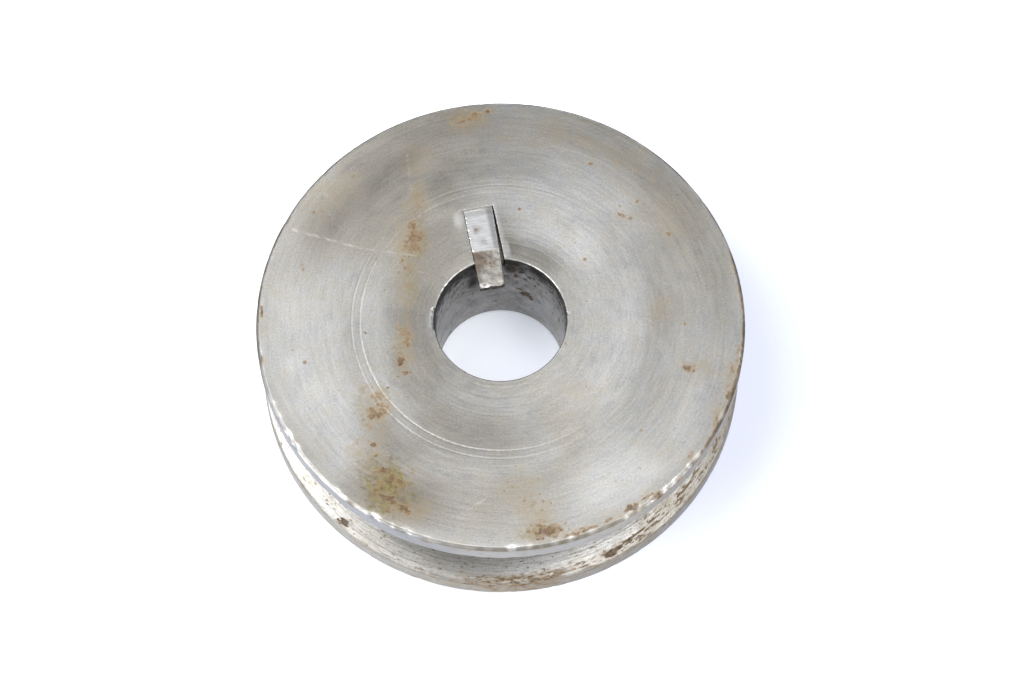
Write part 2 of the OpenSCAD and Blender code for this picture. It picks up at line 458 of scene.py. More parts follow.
FACE_RUST = [   # x, y, half length, half width, turn, strength
    (-13.6, 16.4, 1.1, 0.8, 60, 0.50), (-13.1, 14.4, 1.2, 0.9, 20, 0.55), (-13.9, 12.6, 0.9, 1.3, 0, 0.45), (-13.0, 12.0, 0.7, 0.5, 0, 0.5),
    (-14.6, 13.4, 0.5, 0.5, 0, 0.5), (-14.3, 8.8, 0.7, 0.9, 0, 0.32), (-14.4, 6.0, 0.6, 1.0, 0, 0.26),
    (-14.8, -2.2, 0.9, 1.6, 0, 0.38), (-14.3, -3.8, 0.6, 0.9, 0, 0.42), (-15.5, -7.1, 0.5, 0.7, 0, 0.75), (-14.6, -8.8, 0.6, 0.5, 30, 0.7),
    (-15.6, -5.6, 0.5, 0.6, 0, 0.35), (-19.0, -12.6, 1.0, 1.1, 0, 0.36), (-19.4, -15.6, 1.4, 0.9, 30, 0.55), (-18.4, -14.6, 0.8, 1.0, 0, 0.45),
    (-20.4, -17.6, 0.7, 0.6, 0, 0.3), (-19.7, -20.6, 0.5, 0.4, 0, 0.65), (-19.2, -22.4, 0.5, 0.4, 20, 0.6),
    (-18.0, -24.9, 0.9, 0.5, 20, 0.8), (-19.6, -25.2, 0.5, 0.4, 0, 0.6), (-16.6, -26.3, 1.2, 0.5, -35, 0.65), (-15.6, -27.2, 0.7, 0.5, 0, 0.5),
    (-19.2, -28.0, 0.9, 0.4, 65, 0.55), (-17.6, -29.4, 1.2, 0.5, -30, 0.8), (-15.9, -30.4, 1.4, 0.5, -35, 0.75), (-14.6, -31.4, 0.5, 0.6, 0, 0.6),
    (-17.4, -31.4, 0.5, 0.5, 0, 0.5), (-18.7, -26.9, 0.5, 0.5, 0, 0.45),
    (6.3, -35.0, 2.2, 1.0, 4, 0.62), (5.2, -35.6, 0.8, 0.7, 0, 0.35), (8.0, -34.6, 0.8, 0.6, 0, 0.35),
    (10.4, -35.6, 1.6, 0.28, 14, 0.55), (12.9, -34.7, 1.4, 0.26, 20, 0.65), (15.8, -33.4, 1.1, 0.25, 26, 0.45),
    (19.4, -31.6, 1.4, 0.7, 30, 0.85), (21.6, -30.0, 1.3, 0.35, 35, 0.5),
    (-5.2, 34.8, 1.6, 0.5, 10, 0.55), (-3.8, 35.6, 0.9, 0.4, 0, 0.50), (-1.9, 36.1, 0.7, 0.4, 20, 0.65), (-5.6, 33.6, 0.8, 0.3, 0, 0.45),
    (22.0, 20.1, 0.35, 0.35, 0, 0.6), (19.4, 17.6, 0.9, 0.4, -20, 0.55), (20.4, 17.0, 0.4, 0.4, 0, 0.5), (26.7, 14.3, 0.45, 0.35, 0, 0.6),
    (17.5, 9.5, 0.3, 0.5, 0, 0.45), (13.3, 10.1, 0.35, 0.3, 0, 0.55), (28.9, -8.5, 0.8, 0.6, 10, 0.7), (30.2, -8.0, 0.5, 0.3, 0, 0.4),
    (28.6, -1.2, 0.25, 0.5, 0, 0.45), (3.1, 19.0, 0.3, 0.3, 0, 0.6), (1.0, 17.0, 0.25, 0.3, 0, 0.5), (-23.1, 25.1, 0.4, 0.4, 0, 0.6),
    (-21.6, 26.7, 0.3, 0.3, 0, 0.55), (-30.8, 9.4, 0.35, 0.8, 10, 0.55), (-29.3, 18.6, 0.3, 0.25, 0, 0.5), (-21.0, -2.1, 0.3, 0.3, 0, 0.6),
    (-30.3, -6.9, 0.3, 0.4, 0, 0.6), (-29.8, -13.2, 0.25, 0.3, 0, 0.5), (14.5, 26.8, 0.35, 0.3, 0, 0.6), (18.6, 26.9, 0.25, 0.35, 0, 0.55),
    (-3.6, 29.4, 0.25, 0.2, 0, 0.5), (12.2, -7.5, 0.3, 0.35, 0, 0.45), (10.0, -4.3, 0.3, 0.3, 0, 0.4), (-37.1, 2.0, 0.2, 0.8, 0, 0.6),
    (-37.0, -6.4, 0.25, 0.8, 0, 0.6), (35.7, -9.0, 0.5, 1.4, -12, 0.45), (34.9, -12.9, 0.4, 0.8, -15, 0.7), (36.6, -6.0, 0.3, 1.6, -8, 0.4),
    (33.0, -16.9, 0.4, 1.2, -22, 0.45), (28.9, -22.9, 0.5, 0.9, -30, 0.4), (20.9, -25.0, 0.3, 0.25, 0, 0.4), (21.3, -18.8, 0.25, 0.25, 0, 0.4),
    (2.4, -31.4, 0.4, 1.0, 0, 0.18), (4.4, -30.2, 0.5, 1.2, 0, 0.20), (-26.0, 14.2, 0.25, 0.25, 0, 0.3), (-12.6, 19.6, 0.8, 0.7, 0, 0.3),
    (-13.0, 21.6, 0.6, 0.8, 0, 0.28),
]
FACE_TAN = [
    (-14.0, 14.0, 3.0, 5.2, 0, 0.55), (-13.2, 20.6, 2.6, 3.6, -15, 0.35), (-14.5, 5.5, 2.0, 5.5, 0, 0.40), (-14.8, -4.4, 1.9, 5.0, 0, 0.50),
    (-19.4, -14.6, 3.4, 4.4, 0, 0.60), (-20.6, -21.4, 3.4, 4.0, 0, 0.40), (-17.2, -27.6, 4.2, 4.6, 0, 0.55), (-13.4, -31.2, 4.2, 2.4, 20, 0.40),
    (6.4, -35.0, 3.2, 2.2, 0, 0.50), (3.0, -28.6, 5.0, 3.6, 0, 0.30), (5.4, -31.8, 3.6, 3.0, 0, 0.35), (-5.0, 34.6, 4.0, 2.6, 8, 0.42),
    (8.0, 31.8, 9.0, 3.4, -8, 0.24), (20.0, 27.4, 7.0, 4.4, -35, 0.22), (-26.0, 22.0, 6.0, 4.0, 40, 0.20), (26.6, 17.4, 7.5, 3.2, -60, 0.22),
    (30.6, -8.8, 3.4, 3.0, 0, 0.24), (25.6, 1.4, 4.0, 5.0, 0, 0.26), (34.0, -14.0, 2.0, 5.6, -20, 0.30), (13.0, -35.0, 5.0, 1.4, 18, 0.32),
    (24.0, -22.0, 3.4, 2.0, 30, 0.15), (12.0, -13.0, 5.0, 3.0, 20, 0.12), (-22.0, -8.0, 3.0, 4.0, 0, 0.14), (-12.6, 28.0, 4.5, 3.0, 10, 0.24),
]
FACE_OLIVE = [
    (-17.6, -26.8, 3.6, 4.0, 10, 0.80), (-18.4, -29.6, 2.6, 2.6, 0, 0.65), (-15.0, -29.4, 2.4, 2.2, 0, 0.45), (-13.4, 9.0, 1.4, 6.0, 0, 0.22),
    (-12.4, 14.6, 1.4, 5.4, 0, 0.30), (-20.0, -23.8, 2.0, 2.0, 0, 0.35), (-16.2, -7.0, 1.4, 3.6, 0, 0.18), (-6.4, 35.6, 5.0, 1.2, 8, 0.22),
    (16.6, 33.2, 5.0, 0.9, -27, 0.30), (5.4, -35.2, 3.4, 1.8, 0, 0.25),
]
FACE_DARK = [   # cooler, duller areas
    (-23.0, 24.0, 7.0, 4.6, 42, 0.030), (-16.6, 20.4, 6.4, 4.2, 50, 0.030), (-28.4, 15.6, 3.0, 5.0, -20, 0.045), (8.0, 14.4, 8.0, 3.2, -28, 0.076),
    (16.0, 22.0, 9.0, 3.4, -40, 0.053), (24.6, 1.8, 3.4, 4.2, 0, 0.090), (31.6, -1.2, 4.6, 3.0, 20, 0.064), (-22.6, -1.6, 3.0, 6.0, 0, 0.053),
    (-8.6, -27.0, 5.0, 6.0, 0, 0.047), (-2.4, -12.8, 7.0, 2.4, 0, 0.041), (26.0, 12.0, 4.0, 4.0, 0, 0.041), (0.4, 31.2, 3.0, 1.2, 0, 0.059),
    (31.4, -17.0, 3.0, 4.6, -30, 0.064), (-32.6, -3.6, 2.6, 3.4, 0, 0.044),
]
SHEEN_AND_STAIN_LOBES = [   # painted sheen and shade of the face's reflection sectors, partly stains: angle, half width in degrees, mean radius, half height in mm, change of tone
    (2, 52, 16.0, 6.5, 0.20), (345, 40, 15.5, 5.5, 0.06), (60, 26, 12.2, 2.6, -0.26), (62, 30, 16.6, 3.4, 0.46), (66, 34, 20.5, 4.6, 0.42), (56, 24, 26.0, 3.6, 0.36),
    (60, 26, 30.5, 3.4, 0.16), (35, 40, 34.6, 3.6, -0.16), (140, 44, 14.2, 5.4, -0.27), (128, 30, 20.4, 4.8, -0.20), (130, 34, 27.4, 6.2, -0.28), (142, 30, 32.4, 4.6, -0.24),
    (108, 26, 34.4, 4.4, -0.26), (100, 22, 27.0, 4.0, -0.12), (200, 46, 13.0, 3.6, -0.26), (216, 30, 17.4, 2.6, -0.16), (190, 34, 20.2, 3.0, 0.16), (188, 32, 28.0, 7.0, 0.26),
    (186, 36, 34.4, 4.2, 0.18), (212, 22, 31.0, 5.0, 0.16), (232, 16, 27.0, 4.4, -0.20), (241, 15, 33.2, 5.0, -0.52), (225, 14, 26.0, 3.0, -0.10), (250, 28, 19.6, 5.0, -0.20),
    (278, 26, 19.6, 4.6, -0.14), (271, 22, 31.0, 6.0, -0.12), (303, 16, 31.6, 5.4, 0.24), (330, 26, 33.8, 4.2, 0.20), (338, 30, 20.0, 4.0, 0.18), (348, 24, 29.0, 5.0, 0.14),
    (15, 22, 21.0, 3.4, 0.14), (90, 16, 13.0, 3.4, -0.30), (88, 12, 17.6, 2.6, -0.18), (285, 16, 27.0, 3.6, -0.08),
]
SCRATCHES = [   # x0, y0, x1, y1, half width, strength
    (-32.9, 15.9, -21.4, 12.3, 0.10, 0.9), (-21.4, 12.3, -12.8, 11.0, 0.08, 0.55), (-28.0, 22.4, -25.6, 19.8, 0.08, 0.35), (-14.6, 29.2, -13.8, 22.2, 0.07, 0.35),
    (-13.0, 8.4, -10.8, 7.6, 0.09, 0.5), (-12.2, 6.9, -11.0, 6.6, 0.06, 0.35), (25.4, 5.8, 28.0, 5.2, 0.09, 0.5), (20.6, 16.9, 24.0, 15.7, 0.08, 0.35),
    (-6.8, -13.2, -4.2, -12.8, 0.08, 0.5), (25.0, -14.6, 26.2, -16.4, 0.08, 0.45), (-5.6, -31.6, -2.2, -29.4, 0.10, 0.6), (-5.9, -30.4, -3.6, -29.0, 0.07, 0.4),
    (24.6, 21.4, 26.4, 20.0, 0.06, 0.3), (30.6, 10.6, 33.4, 9.2, 0.06, 0.3), (12.4, 8.6, 17.6, 3.2, 0.06, 0.28), (10.0, 18.8, 12.6, 16.0, 0.06, 0.28),
    (-7.4, 4.2, -6.2, 9.0, 0.05, 0.3), (7.8, -19.2, 12.4, -18.0, 0.06, 0.4), (14.6, -18.4, 15.4, -17.4, 0.08, 0.5), (-25.6, 4.0, -19.6, 6.8, 0.05, 0.3),
    (-27.4, 19.2, -19.8, 9.4, 0.05, 0.25), (-10.6, -22.2, -6.0, -26.6, 0.05, 0.25), (16.2, -26.2, 21.8, -21.4, 0.05, 0.25), (-33.0, 4.6, -29.0, 8.8, 0.05, 0.25),
]


def put(me, name, values):
    a = me.attributes.new(name, "FLOAT", "POINT")
    a.data.foreach_set("value", np.asarray(values, np.float32))


def paint_body(me):
    n = len(me.vertices)
    co = np.empty(n * 3); me.vertices.foreach_get("co", co)
    p = co.reshape(-1, 3) / MM
    x, y, z = p.T
    r = np.hypot(x, y)
    th = np.arctan2(y, x)
    rust, tan_, olive, grime_and_shade, bare_and_painted_light, scratch = (np.zeros(n) for _ in range(6))
    face = z > WIDTH - 0.45
    f = np.where(face)[0]
    def blots(items, target, ragged, seed, mix=np.maximum):
        for i, (cx, cy, ax, ay, turn, k) in enumerate(items):
            near = f[(np.abs(x[f] - cx) < 2.3 * max(ax, ay)) & (np.abs(y[f] - cy) < 2.3 * max(ax, ay))]
            if len(near):
                target[near] = mix(target[near], k * ellipse(x[near], y[near], cx, cy, ax, ay, turn, ragged, p[near], seed + 3 * i))
    blots([(a, b, c * 1.15, d * 1.15, e, min(1.0, 0.07 + k * 1.25)) for a, b, c, d, e, k in FACE_RUST], rust, 0.60, 1000)
    g = np.random.default_rng(77)
    flecks = []
    for _ in range(150):                          # fine flecks all over the face
        q, t = g.uniform(11.5, 37.2), g.uniform(0, 2 * math.pi)
        flecks.append((q * math.cos(t), q * math.sin(t), g.uniform(0.10, 0.24), g.uniform(0.10, 0.24), 0, g.uniform(0.25, 0.75)))
    for cx, cy, sx, sy, m in ((-13.8, 14.5, 1.1, 3.4, 34), (-14.4, 6.5, 0.8, 3.0, 14), (-14.9, -4.0, 0.9, 3.0, 26), (-18.9, -14.6, 1.5, 2.4, 30), (-19.6, -21.0, 1.8, 2.2, 18),
                              (-17.2, -27.6, 2.3, 2.7, 60), (6.4, -35.0, 1.7, 0.8, 30), (-3.9, 35.0, 1.9, 0.8, 24), (14.0, -34.6, 3.4, 0.5, 26), (34.2, -13.6, 0.8, 3.0, 22),
                              (4.2, -29.4, 2.6, 2.6, 26), (24.0, 19.0, 4.0, 4.0, 20), (29.0, -7.6, 1.4, 1.6, 10)):
        for _ in range(m):
            flecks.append((g.normal(cx, sx), g.normal(cy, sy), g.uniform(0.12, 0.34), g.uniform(0.10, 0.26), g.uniform(0, 180), g.uniform(0.25, 0.8)))
    blots([q for q in flecks if 10.9 < math.hypot(q[0], q[1]) < 37.6], rust, 0.45, 5000)
    blots([(a, b, c, d, e, min(0.95, k * 1.55)) for a, b, c, d, e, k in FACE_TAN] + [(a, b, c * 1.9, d * 1.9, e, 0.55 * k) for a, b, c, d, e, k in FACE_RUST if c * d > 0.15], tan_, 0.35, 2000, lambda a, b: 1 - (1 - a) * (1 - b))
    blots(FACE_OLIVE, olive, 0.45, 3000)
    blots(FACE_DARK, grime_and_shade, 0.30, 4000, lambda a, b: 1 - (1 - a) * (1 - b))
    # painted shade: a faint tan tint that grows towards the back left of the face
    back_left_shade = 0.05 * smooth(y[f] - 0.35 * x[f], 4.0, 24.0) * np.clip(0.75 + 0.35 * waves(p[f], 69, 7.0, 30), 0.2, 1.3)
    tan_[f] = 1 - (1 - tan_[f]) * (1 - back_left_shade)
    tone_and_sheen = np.zeros(n)
    nl = 0.5 * waves(p[f], 61, 5.0, 40)
    # the lobes paint sheen and shade sectors into the face's tone, partly stains
    for c, hw, rc, hr, k in SHEEN_AND_STAIN_LOBES:
        a = np.clip(1 - np.abs(ang_gap(th[f], c)) / (hw * 1.25) + 0.10 * nl, 0, 1)
        b = np.clip(1 - np.abs(r[f] - rc) / (hr * 1.25) + 0.10 * nl, 0, 1)
        tone_and_sheen[f] += k * smooth(a, 0, 0.9) * smooth(b, 0, 0.9)
    for x0, y0, x1, y1, w, k in SCRATCHES:
        d = np.array([x1 - x0, y1 - y0]); ln = np.hypot(*d); d /= ln
        t = (x[f] - x0) * d[0] + (y[f] - y0) * d[1]
        bow = 0.012 * (t / ln - 0.5) ** 2 * ln
        s = np.abs(-(x[f] - x0) * d[1] + (y[f] - y0) * d[0] - bow)
        m = 0.62 * np.exp(-(s / (w * 1.2)) ** 2) * smooth(t, -0.3, 0.6) * smooth(-t, -ln - 0.3, -ln + 0.6)
        scratch[f] = np.maximum(scratch[f], k * m * (0.6 + 0.4 * np.cos(t * 2.1 + x0)))
    # outer edges: bare metal, brightest where the chips are; around 232 degrees at the left the bright edge is also a
    # painted highlight
    corner = np.exp(-((r - (R_OUT - 0.25)) ** 2 + (z - (WIDTH - 0.25)) ** 2) / 0.30 ** 2)
    left = smooth(-np.abs(ang_gap(th, 232)), -46, -18)
    front = smooth(-np.abs(ang_gap(th, 258)), -74, -54)
    bare_and_painted_light = np.maximum(bare_and_painted_light, corner * front * (0.08 + 0.42 * left + 0.25 * fourier(th, 51, 20, 120, 0.1)))
    edge_front = np.exp(-((r - (R_OUT - 0.15)) ** 2 + (z - (WIDTH - 0.32)) ** 2) / 0.30 ** 2) * smooth(-np.abs(ang_gap(th, 281)), -36, -18)
    tan_ = np.maximum(tan_, 0.9 * edge_front)
    grime_and_shade = np.maximum(grime_and_shade, 0.5 * edge_front)
    soot_and_shade = np.zeros(n)
    soot_and_shade = np.maximum(soot_and_shade, (1 - front) * np.exp(-((r - (R_OUT - 0.12)) ** 2 + (z - (WIDTH - 0.30)) ** 2) / 0.36 ** 2) * (0.62 + 0.25 * fourier(th, 53, 6, 60, 0.3)))
    right_edge = smooth(-np.abs(ang_gap(th, 338)), -34, -14)
    for c, w, k in ((210, 1.2, 0.9), (214, 0.8, 0.8), (239, 1.3, 1.0), (228, 1.0, 0.5), (272, 1.1, 1.0), (276, 0.7, 0.7), (286, 0.9, 0.5), (291, 1.0, 0.7),
                    (300, 1.3, 0.6), (303.5, 0.9, 0.4), (307, 0.8, 0.3), (311, 0.8, 0.6), (314, 0.8, 0.5), (319, 0.6, 0.4), (322, 1.2, 0.5), (334, 1.0, 0.3)):
        wide = np.exp(-((r - (R_OUT - 0.45)) ** 2 + (z - (WIDTH - 0.15)) ** 2) / 0.42 ** 2)
        bare_and_painted_light = np.maximum(bare_and_painted_light, k * wide * np.exp(-(ang_gap(th, c) / w) ** 2))
    # red-brown bloom along the right-hand edge and on the top of its land
    ridge = np.exp(-((r - R_OUT) ** 2 + (z - (WIDTH - 0.55)) ** 2) / 0.55 ** 2)
    right = smooth(-np.abs(ang_gap(th, 327)), -30, -12)
    n1 = waves(p, 52, 1.3, 30)
    rust = np.maximum(rust, ridge * right * smooth(n1, -0.5, 0.5) * 0.75)
    rust = np.maximum(rust, corner * right_edge * smooth(n1, -0.9, 0.2) * 0.85)
    rust = np.maximum(rust, np.exp(-((r - (R_OUT - 0.2)) ** 2 + (z - (WIDTH - 0.2)) ** 2) / 0.48 ** 2) * smooth(-np.abs(ang_gap(th, 350)), -38, -18) * smooth(n1, -1.2, 0.2) * 0.85)
    rust = np.maximum(rust, np.exp(-((r - 37.6) ** 2 + (z - 19.9) ** 2) / 0.5 ** 2) * np.exp(-(ang_gap(th, 308.5) / 1.6) ** 2) * 0.95)
    rust = np.maximum(rust, corner * (1 - front) * smooth(n1, 0.1, 0.9) * 0.7)
    rust = np.maximum(rust, ridge * np.exp(-(ang_gap(th, 309) / 3.2) ** 2) * smooth(n1, -0.8, 0.3) * 0.95)
    rust = np.maximum(rust, ridge * smooth(-np.abs(ang_gap(th, 355)), -14, -4) * smooth(n1, -0.4, 0.6) * 0.6)
    rust = np.maximum(rust, ridge * smooth(n1, 0.75, 1.3) * 0.5)
    # groove walls: streaks of rust that follow the turning, worst at the front and right
    wall = (r > 26.2) & (r < 37.9) & (z > 2.9) & (z < 17.1)
    w = np.where(wall)[0]
    pw = np.stack([r[w] * 1.0, th[w] * 3.2, z[w]], 1)
    long = waves(np.stack([r[w] * 6.0, np.cos(th[w]) * 48, np.sin(th[w]) * 48], 1), 55, 2.6, 60)
    long2 = waves(np.stack([r[w] * 8.5, np.cos(th[w]) * 110, np.sin(th[w]) * 110], 1), 56, 2.3, 60)
    def streak(c, half, rc, rh, k, lo=-0.2, hi=0.6, only_low=True):
        m = smooth(-np.abs(ang_gap(th[w], c)), -half, -half * 0.45) * np.exp(-((r[w] - rc) / rh) ** 2)
        if only_low:
            m = m * (z[w] < 10)
        rust[w] = np.maximum(rust[w], k * m * smooth(0.55 * long + 0.6 * long2, lo, hi))
    streak(274, 16, 37.2, 0.80, 0.80, -0.75, 0.5)
    streak(270, 10, 36.8, 0.5, 0.7, -0.5, 0.6)
    streak(286, 20, 36.8, 1.1, 0.6, 0.1, 0.9)
    streak(303, 12, 36.8, 0.9, 0.85, -0.1, 0.7)
    streak(314, 14, 36.2, 1.2, 0.75, 0.2, 0.9)
    streak(330, 22, 36.6, 1.6, 0.65, 0.0, 0.9)
    streak(251.5, 3.0, 37.5, 0.35, 0.8, -0.6, 0.4)
    streak(238, 34, 36.4, 1.8, 0.5, 1.0, 1.6)
    tan_[w] = np.maximum(tan_[w], 0.26 * smooth(-np.abs(ang_gap(th[w], 332)), -34, -12) * (z[w] < 10))
    grime_and_shade[w] = np.maximum(grime_and_shade[w], 0.54 * smooth(-np.abs(ang_gap(th[w], 328)), -40, -14) * (z[w] < 10))
    grime_and_shade[w] = np.maximum(grime_and_shade[w], 0.16 * smooth(-np.abs(ang_gap(th[w], 218)), -34, -14) * (z[w] < 10))
    tan_[w] = np.maximum(tan_[w], 0.70 * smooth(-np.abs(ang_gap(th[w], 273)), -17, -7) * smooth(r[w], 35.9, 36.9) * (z[w] < 10))
    tan_[w] = np.maximum(tan_[w], 0.30 * smooth(-np.abs(ang_gap(th[w], 296)), -26, -10) * smooth(r[w], 35.4, 36.9) * (z[w] < 10))
    fleck = np.zeros(n)
    fleck[w] = 0.45 + 0.55 * smooth(-np.abs(ang_gap(th[w], 262)), -96, -66)
    low = np.where((r > 37.6) & (z > 0.3) & (z < LAND + 0.1))[0]
    ll = waves(np.stack([z[low] * 6.0, np.cos(th[low]) * 48, np.sin(th[low]) * 48], 1), 66, 2.6, 60)
    l2 = waves(np.stack([z[low] * 9.0, np.cos(th[low]) * 110, np.sin(th[low]) * 110], 1), 67, 2.3, 60)
    def low_streak(c, half, k, lo, hi, arr):
        m = smooth(-np.abs(ang_gap(th[low], c)), -half, -half * 0.4)
        arr[low] = np.maximum(arr[low], k * m * smooth(0.55 * ll + 0.5 * l2, lo, hi))
    low_streak(273, 14, 0.75, -0.7, 0.9, rust)
    tan_[low] = np.maximum(tan_[low], 0.75 * smooth(-np.abs(ang_gap(th[low], 273)), -17, -7))
    low_streak(290, 22, 0.6, 0.3, 1.1, rust)
    low_streak(325, 32, 0.7, 0.1, 1.0, rust)
    low_streak(250, 20, 0.5, 0.6, 1.3, rust)
    fleck[low] = 0.6
    tan_[low] = np.maximum(tan_[low], 0.42 * smooth(-np.abs(ang_gap(th[low], 300)), -64, -34) + 0.12)
    for c, rc, wa, wr, k in ((297.0, 37.0, 1.9, 0.55, 1.3), (299.5, 36.75, 1.4, 0.30, 1.1), (302.5, 36.5, 2.2, 0.22, 0.9), (227.8, 36.95, 1.5, 0.55, 1.4),
                             (226.4, 37.25, 0.9, 0.2, 0.9), (306.0, 36.4, 2.0, 0.2, 0.8), (310.0, 36.1, 1.6, 0.25, 0.7), (150.0, 36.6, 2.4, 0.5, 0.9),
                             (60.0, 36.9, 3.0, 0.4, 0.9), (82.0, 35.6, 2.0, 0.5, 0.7), (20.0, 36.5, 3.2, 0.35, 0.8), (118.0, 37.2, 4.0, 0.3, 0.7)):
        m = np.exp(-(ang_gap(th[w], c) / wa) ** 2 - ((r[w] - rc) / wr) ** 2) * (z[w] < 10)
        rust[w] = np.maximum(rust[w], np.clip(k * smooth(m + 0.16 * long2, 0.25, 0.75), 0, 1))
    # the unseen side of the groove and its upper wall carry the same light rust
    rust[w] = np.maximum(rust[w], 0.60 * smooth(0.6 * long + 0.5 * long2, 0.95, 1.5))
    # painted shade: darker deeper in the groove, towards the root
    grime_and_shade[w] = np.maximum(grime_and_shade[w], smooth(-r[w], -34.5, -30.0) * 0.55)
    # lands are painted darker than the walls, least at the left front
    lands = (r > 37.9) & (z > 0.4) & (z < WIDTH - 0.4)
    grime_and_shade[lands] = np.maximum(grime_and_shade[lands], 0.50 - 0.24 * smooth(-np.abs(ang_gap(th[lands], 222)), -34, -12) - 0.12 * smooth(-np.abs(ang_gap(th[lands], 300)), -26, -8) + 0.08 * (z[lands] < 10))
    # painted reflection: a bluish lilac tint on the lands, the shadowed floor beside the part seen in them
    painted_floor_reflection = np.zeros(n)
    painted_floor_reflection[lands] = 0.35 * (z[lands] > 10) * smooth(-np.abs(ang_gap(th[lands], 236)), -66, -44)
    tan_[lands] = np.maximum(tan_[lands], 0.34 * smooth(-np.abs(ang_gap(th[lands], 325)), -40, -20))
    grime_and_shade[lands] = np.maximum(grime_and_shade[lands], 0.52 * smooth(-np.abs(ang_gap(th[lands], 325)), -34, -16) * (z[lands] > 10))
    painted_floor_reflection = np.maximum(painted_floor_reflection, ((r > 37.55) & (z > WIDTH - LAND - 0.2) & (z < WIDTH - 0.42)) * smooth(-np.abs(ang_gap(th, 222)), -52, -30))
    # bore: dull and dark, with painted shade darkest just under the mouth, over the relief
    b = (r < 10.45) & (z < WIDTH - 0.12)
    nbore = waves(p[b], 62, 2.2, 40)
    nbore2 = waves(p[b], 63, 0.8, 40)
    grime_and_shade[b] = np.maximum(grime_and_shade[b], 0.74 + 0.26 * smooth(z[b], 15.6, 18.6) - 0.46 * smooth(-np.abs(ang_gap(th[b], 16)), -58, -20) * smooth(-z[b], -17, -11) - 0.22 * smooth(-z[b], -7.5, -1.0)
                          + 0.10 * nbore + 0.08 * nbore2)
    soot_and_shade[b] = np.maximum(soot_and_shade[b], 0.72 * smooth(z[b] + 0.5 * nbore + 0.25 * nbore2, 16.4, 19.4))
    # painted shadow: dark patch cast by the key's tip on the bore wall, to its left
    soot_and_shade[b] = np.maximum(soot_and_shade[b], 0.85 * np.exp(-(ang_gap(th[b], 115.5) / 6.5) ** 2 - ((z[b] + 0.6 * nbore2 - 14.2) / 2.9) ** 2))
    tan_[b] = np.maximum(tan_[b], 0.10)
    # painted shadow under the key's tip, and on its right, where it is partly a rusty spot
    soot_and_shade[b] = np.maximum(soot_and_shade[b], 0.50 * np.exp(-(ang_gap(th[b], 100) / 15) ** 2 - ((z[b] - 13.8) / 2.2) ** 2))
    soot_and_shade[b] = np.maximum(soot_and_shade[b], 0.70 * np.exp(-(ang_gap(th[b], 82) / 4.5) ** 2 - ((z[b] - 17.2) / 1.8) ** 2))
    speck = smooth(waves(np.stack([np.cos(th[b]) * 14, np.sin(th[b]) * 14, z[b]], 1), 68, 0.9, 60), 1.25, 2.0)
    soot_and_shade[b] = np.maximum(soot_and_shade[b], 0.45 * speck)
    mott = smooth(waves(p[b], 70, 0.7, 50) + 0.6 * waves(p[b], 71, 0.35, 50), 0.2, 1.6)
    soot_and_shade[b] = np.maximum(soot_and_shade[b], 0.60 * mott * smooth(z[b], 8.0, 16.5))
    bb = np.where((r < 10.45) & (z < WIDTH - 0.05))[0]
    nb = waves(p[bb], 57, 1.4, 30); nb2 = waves(p[bb], 58, 0.5, 30)
    def spot(deg, zc, wa, wz, k):
        m = np.exp(-(ang_gap(th[bb], deg) / wa) ** 2 - ((z[bb] - zc) / wz) ** 2)
        rust[bb] = np.maximum(rust[bb], k * smooth(m + (0.16 * nb + 0.16 * nb2) * smooth(m, 0.02, 0.3), 0.30, 0.85))
    for q in ((66, 9.0, 6.5, 1.1, 1.0), (61, 8.2, 3.5, 0.9, 1.0), (72, 10.3, 4.0, 0.5, 0.8), (78, 17.2, 3.0, 1.2, 0.9), (75, 15.0, 2.4, 1.2, 0.75),
              (34, 9.5, 2.0, 0.6, 0.6), (22, 11.0, 2.0, 0.7, 0.7), (15, 13.5, 2.0, 1.0, 0.6), (152, 6.0, 3.0, 0.8, 0.4), (255, 5.0, 6.0, 1.2, 0.6),
              (300, 12.0, 5.0, 1.0, 0.5), (97, 7.0, 6.0, 0.5, 0.35)):
        spot(*q)
    # rim of the bore: a thin bare line, and the dent on the left
    rim = np.exp(-((r - (RELIEF_R + 0.08)) ** 2 + (z - (WIDTH - 0.05)) ** 2) / 0.12 ** 2)
    bare_and_painted_light = np.maximum(bare_and_painted_light, rim * (0.55 + 0.25 * fourier(th, 59, 8, 60, 0.2)))
    dent = np.exp(-((r - (RELIEF_R + 0.42)) ** 2 + (z - (WIDTH - 0.15)) ** 2) / 0.34 ** 2)
    bare_and_painted_light = np.maximum(bare_and_painted_light, dent * smooth(-np.abs(ang_gap(th, 179)), -11, -6) * 0.8)
    bare_and_painted_light = np.maximum(bare_and_painted_light, 0.20 * dent * np.exp(-(ang_gap(th, 5) / 1.2) ** 2))
    # ring lines of the washer's seat are brighter, most at lower left
    nrg, nrg2 = fourier(th, 64, 10, 90, 0.2), fourier(th, 65, 60, 240, 0.1)
    for c, wd, k in ((21.9, 0.15, 0.46), (23.2, 0.13, 0.24), (22.5, 0.12, 0.16), (22.2, 0.10, 0.16), (23.9, 0.12, 0.14)):
        amp = 0.32 + 0.68 * smooth(-np.abs(ang_gap(th, 232)), -75, -20) + 0.42 * smooth(-np.abs(ang_gap(th, 30)), -64, -24) + 0.15 * fourier(th, int(c * 10), 3, 24, 0.2)
        bare_and_painted_light[f] = np.maximum(bare_and_painted_light[f], 0.62 * k * np.exp(-((r[f] - c - 0.02 * nrg[f]) / wd) ** 2) * amp[f] * np.clip(0.62 + 0.55 * nrg2[f], 0, 1.2))
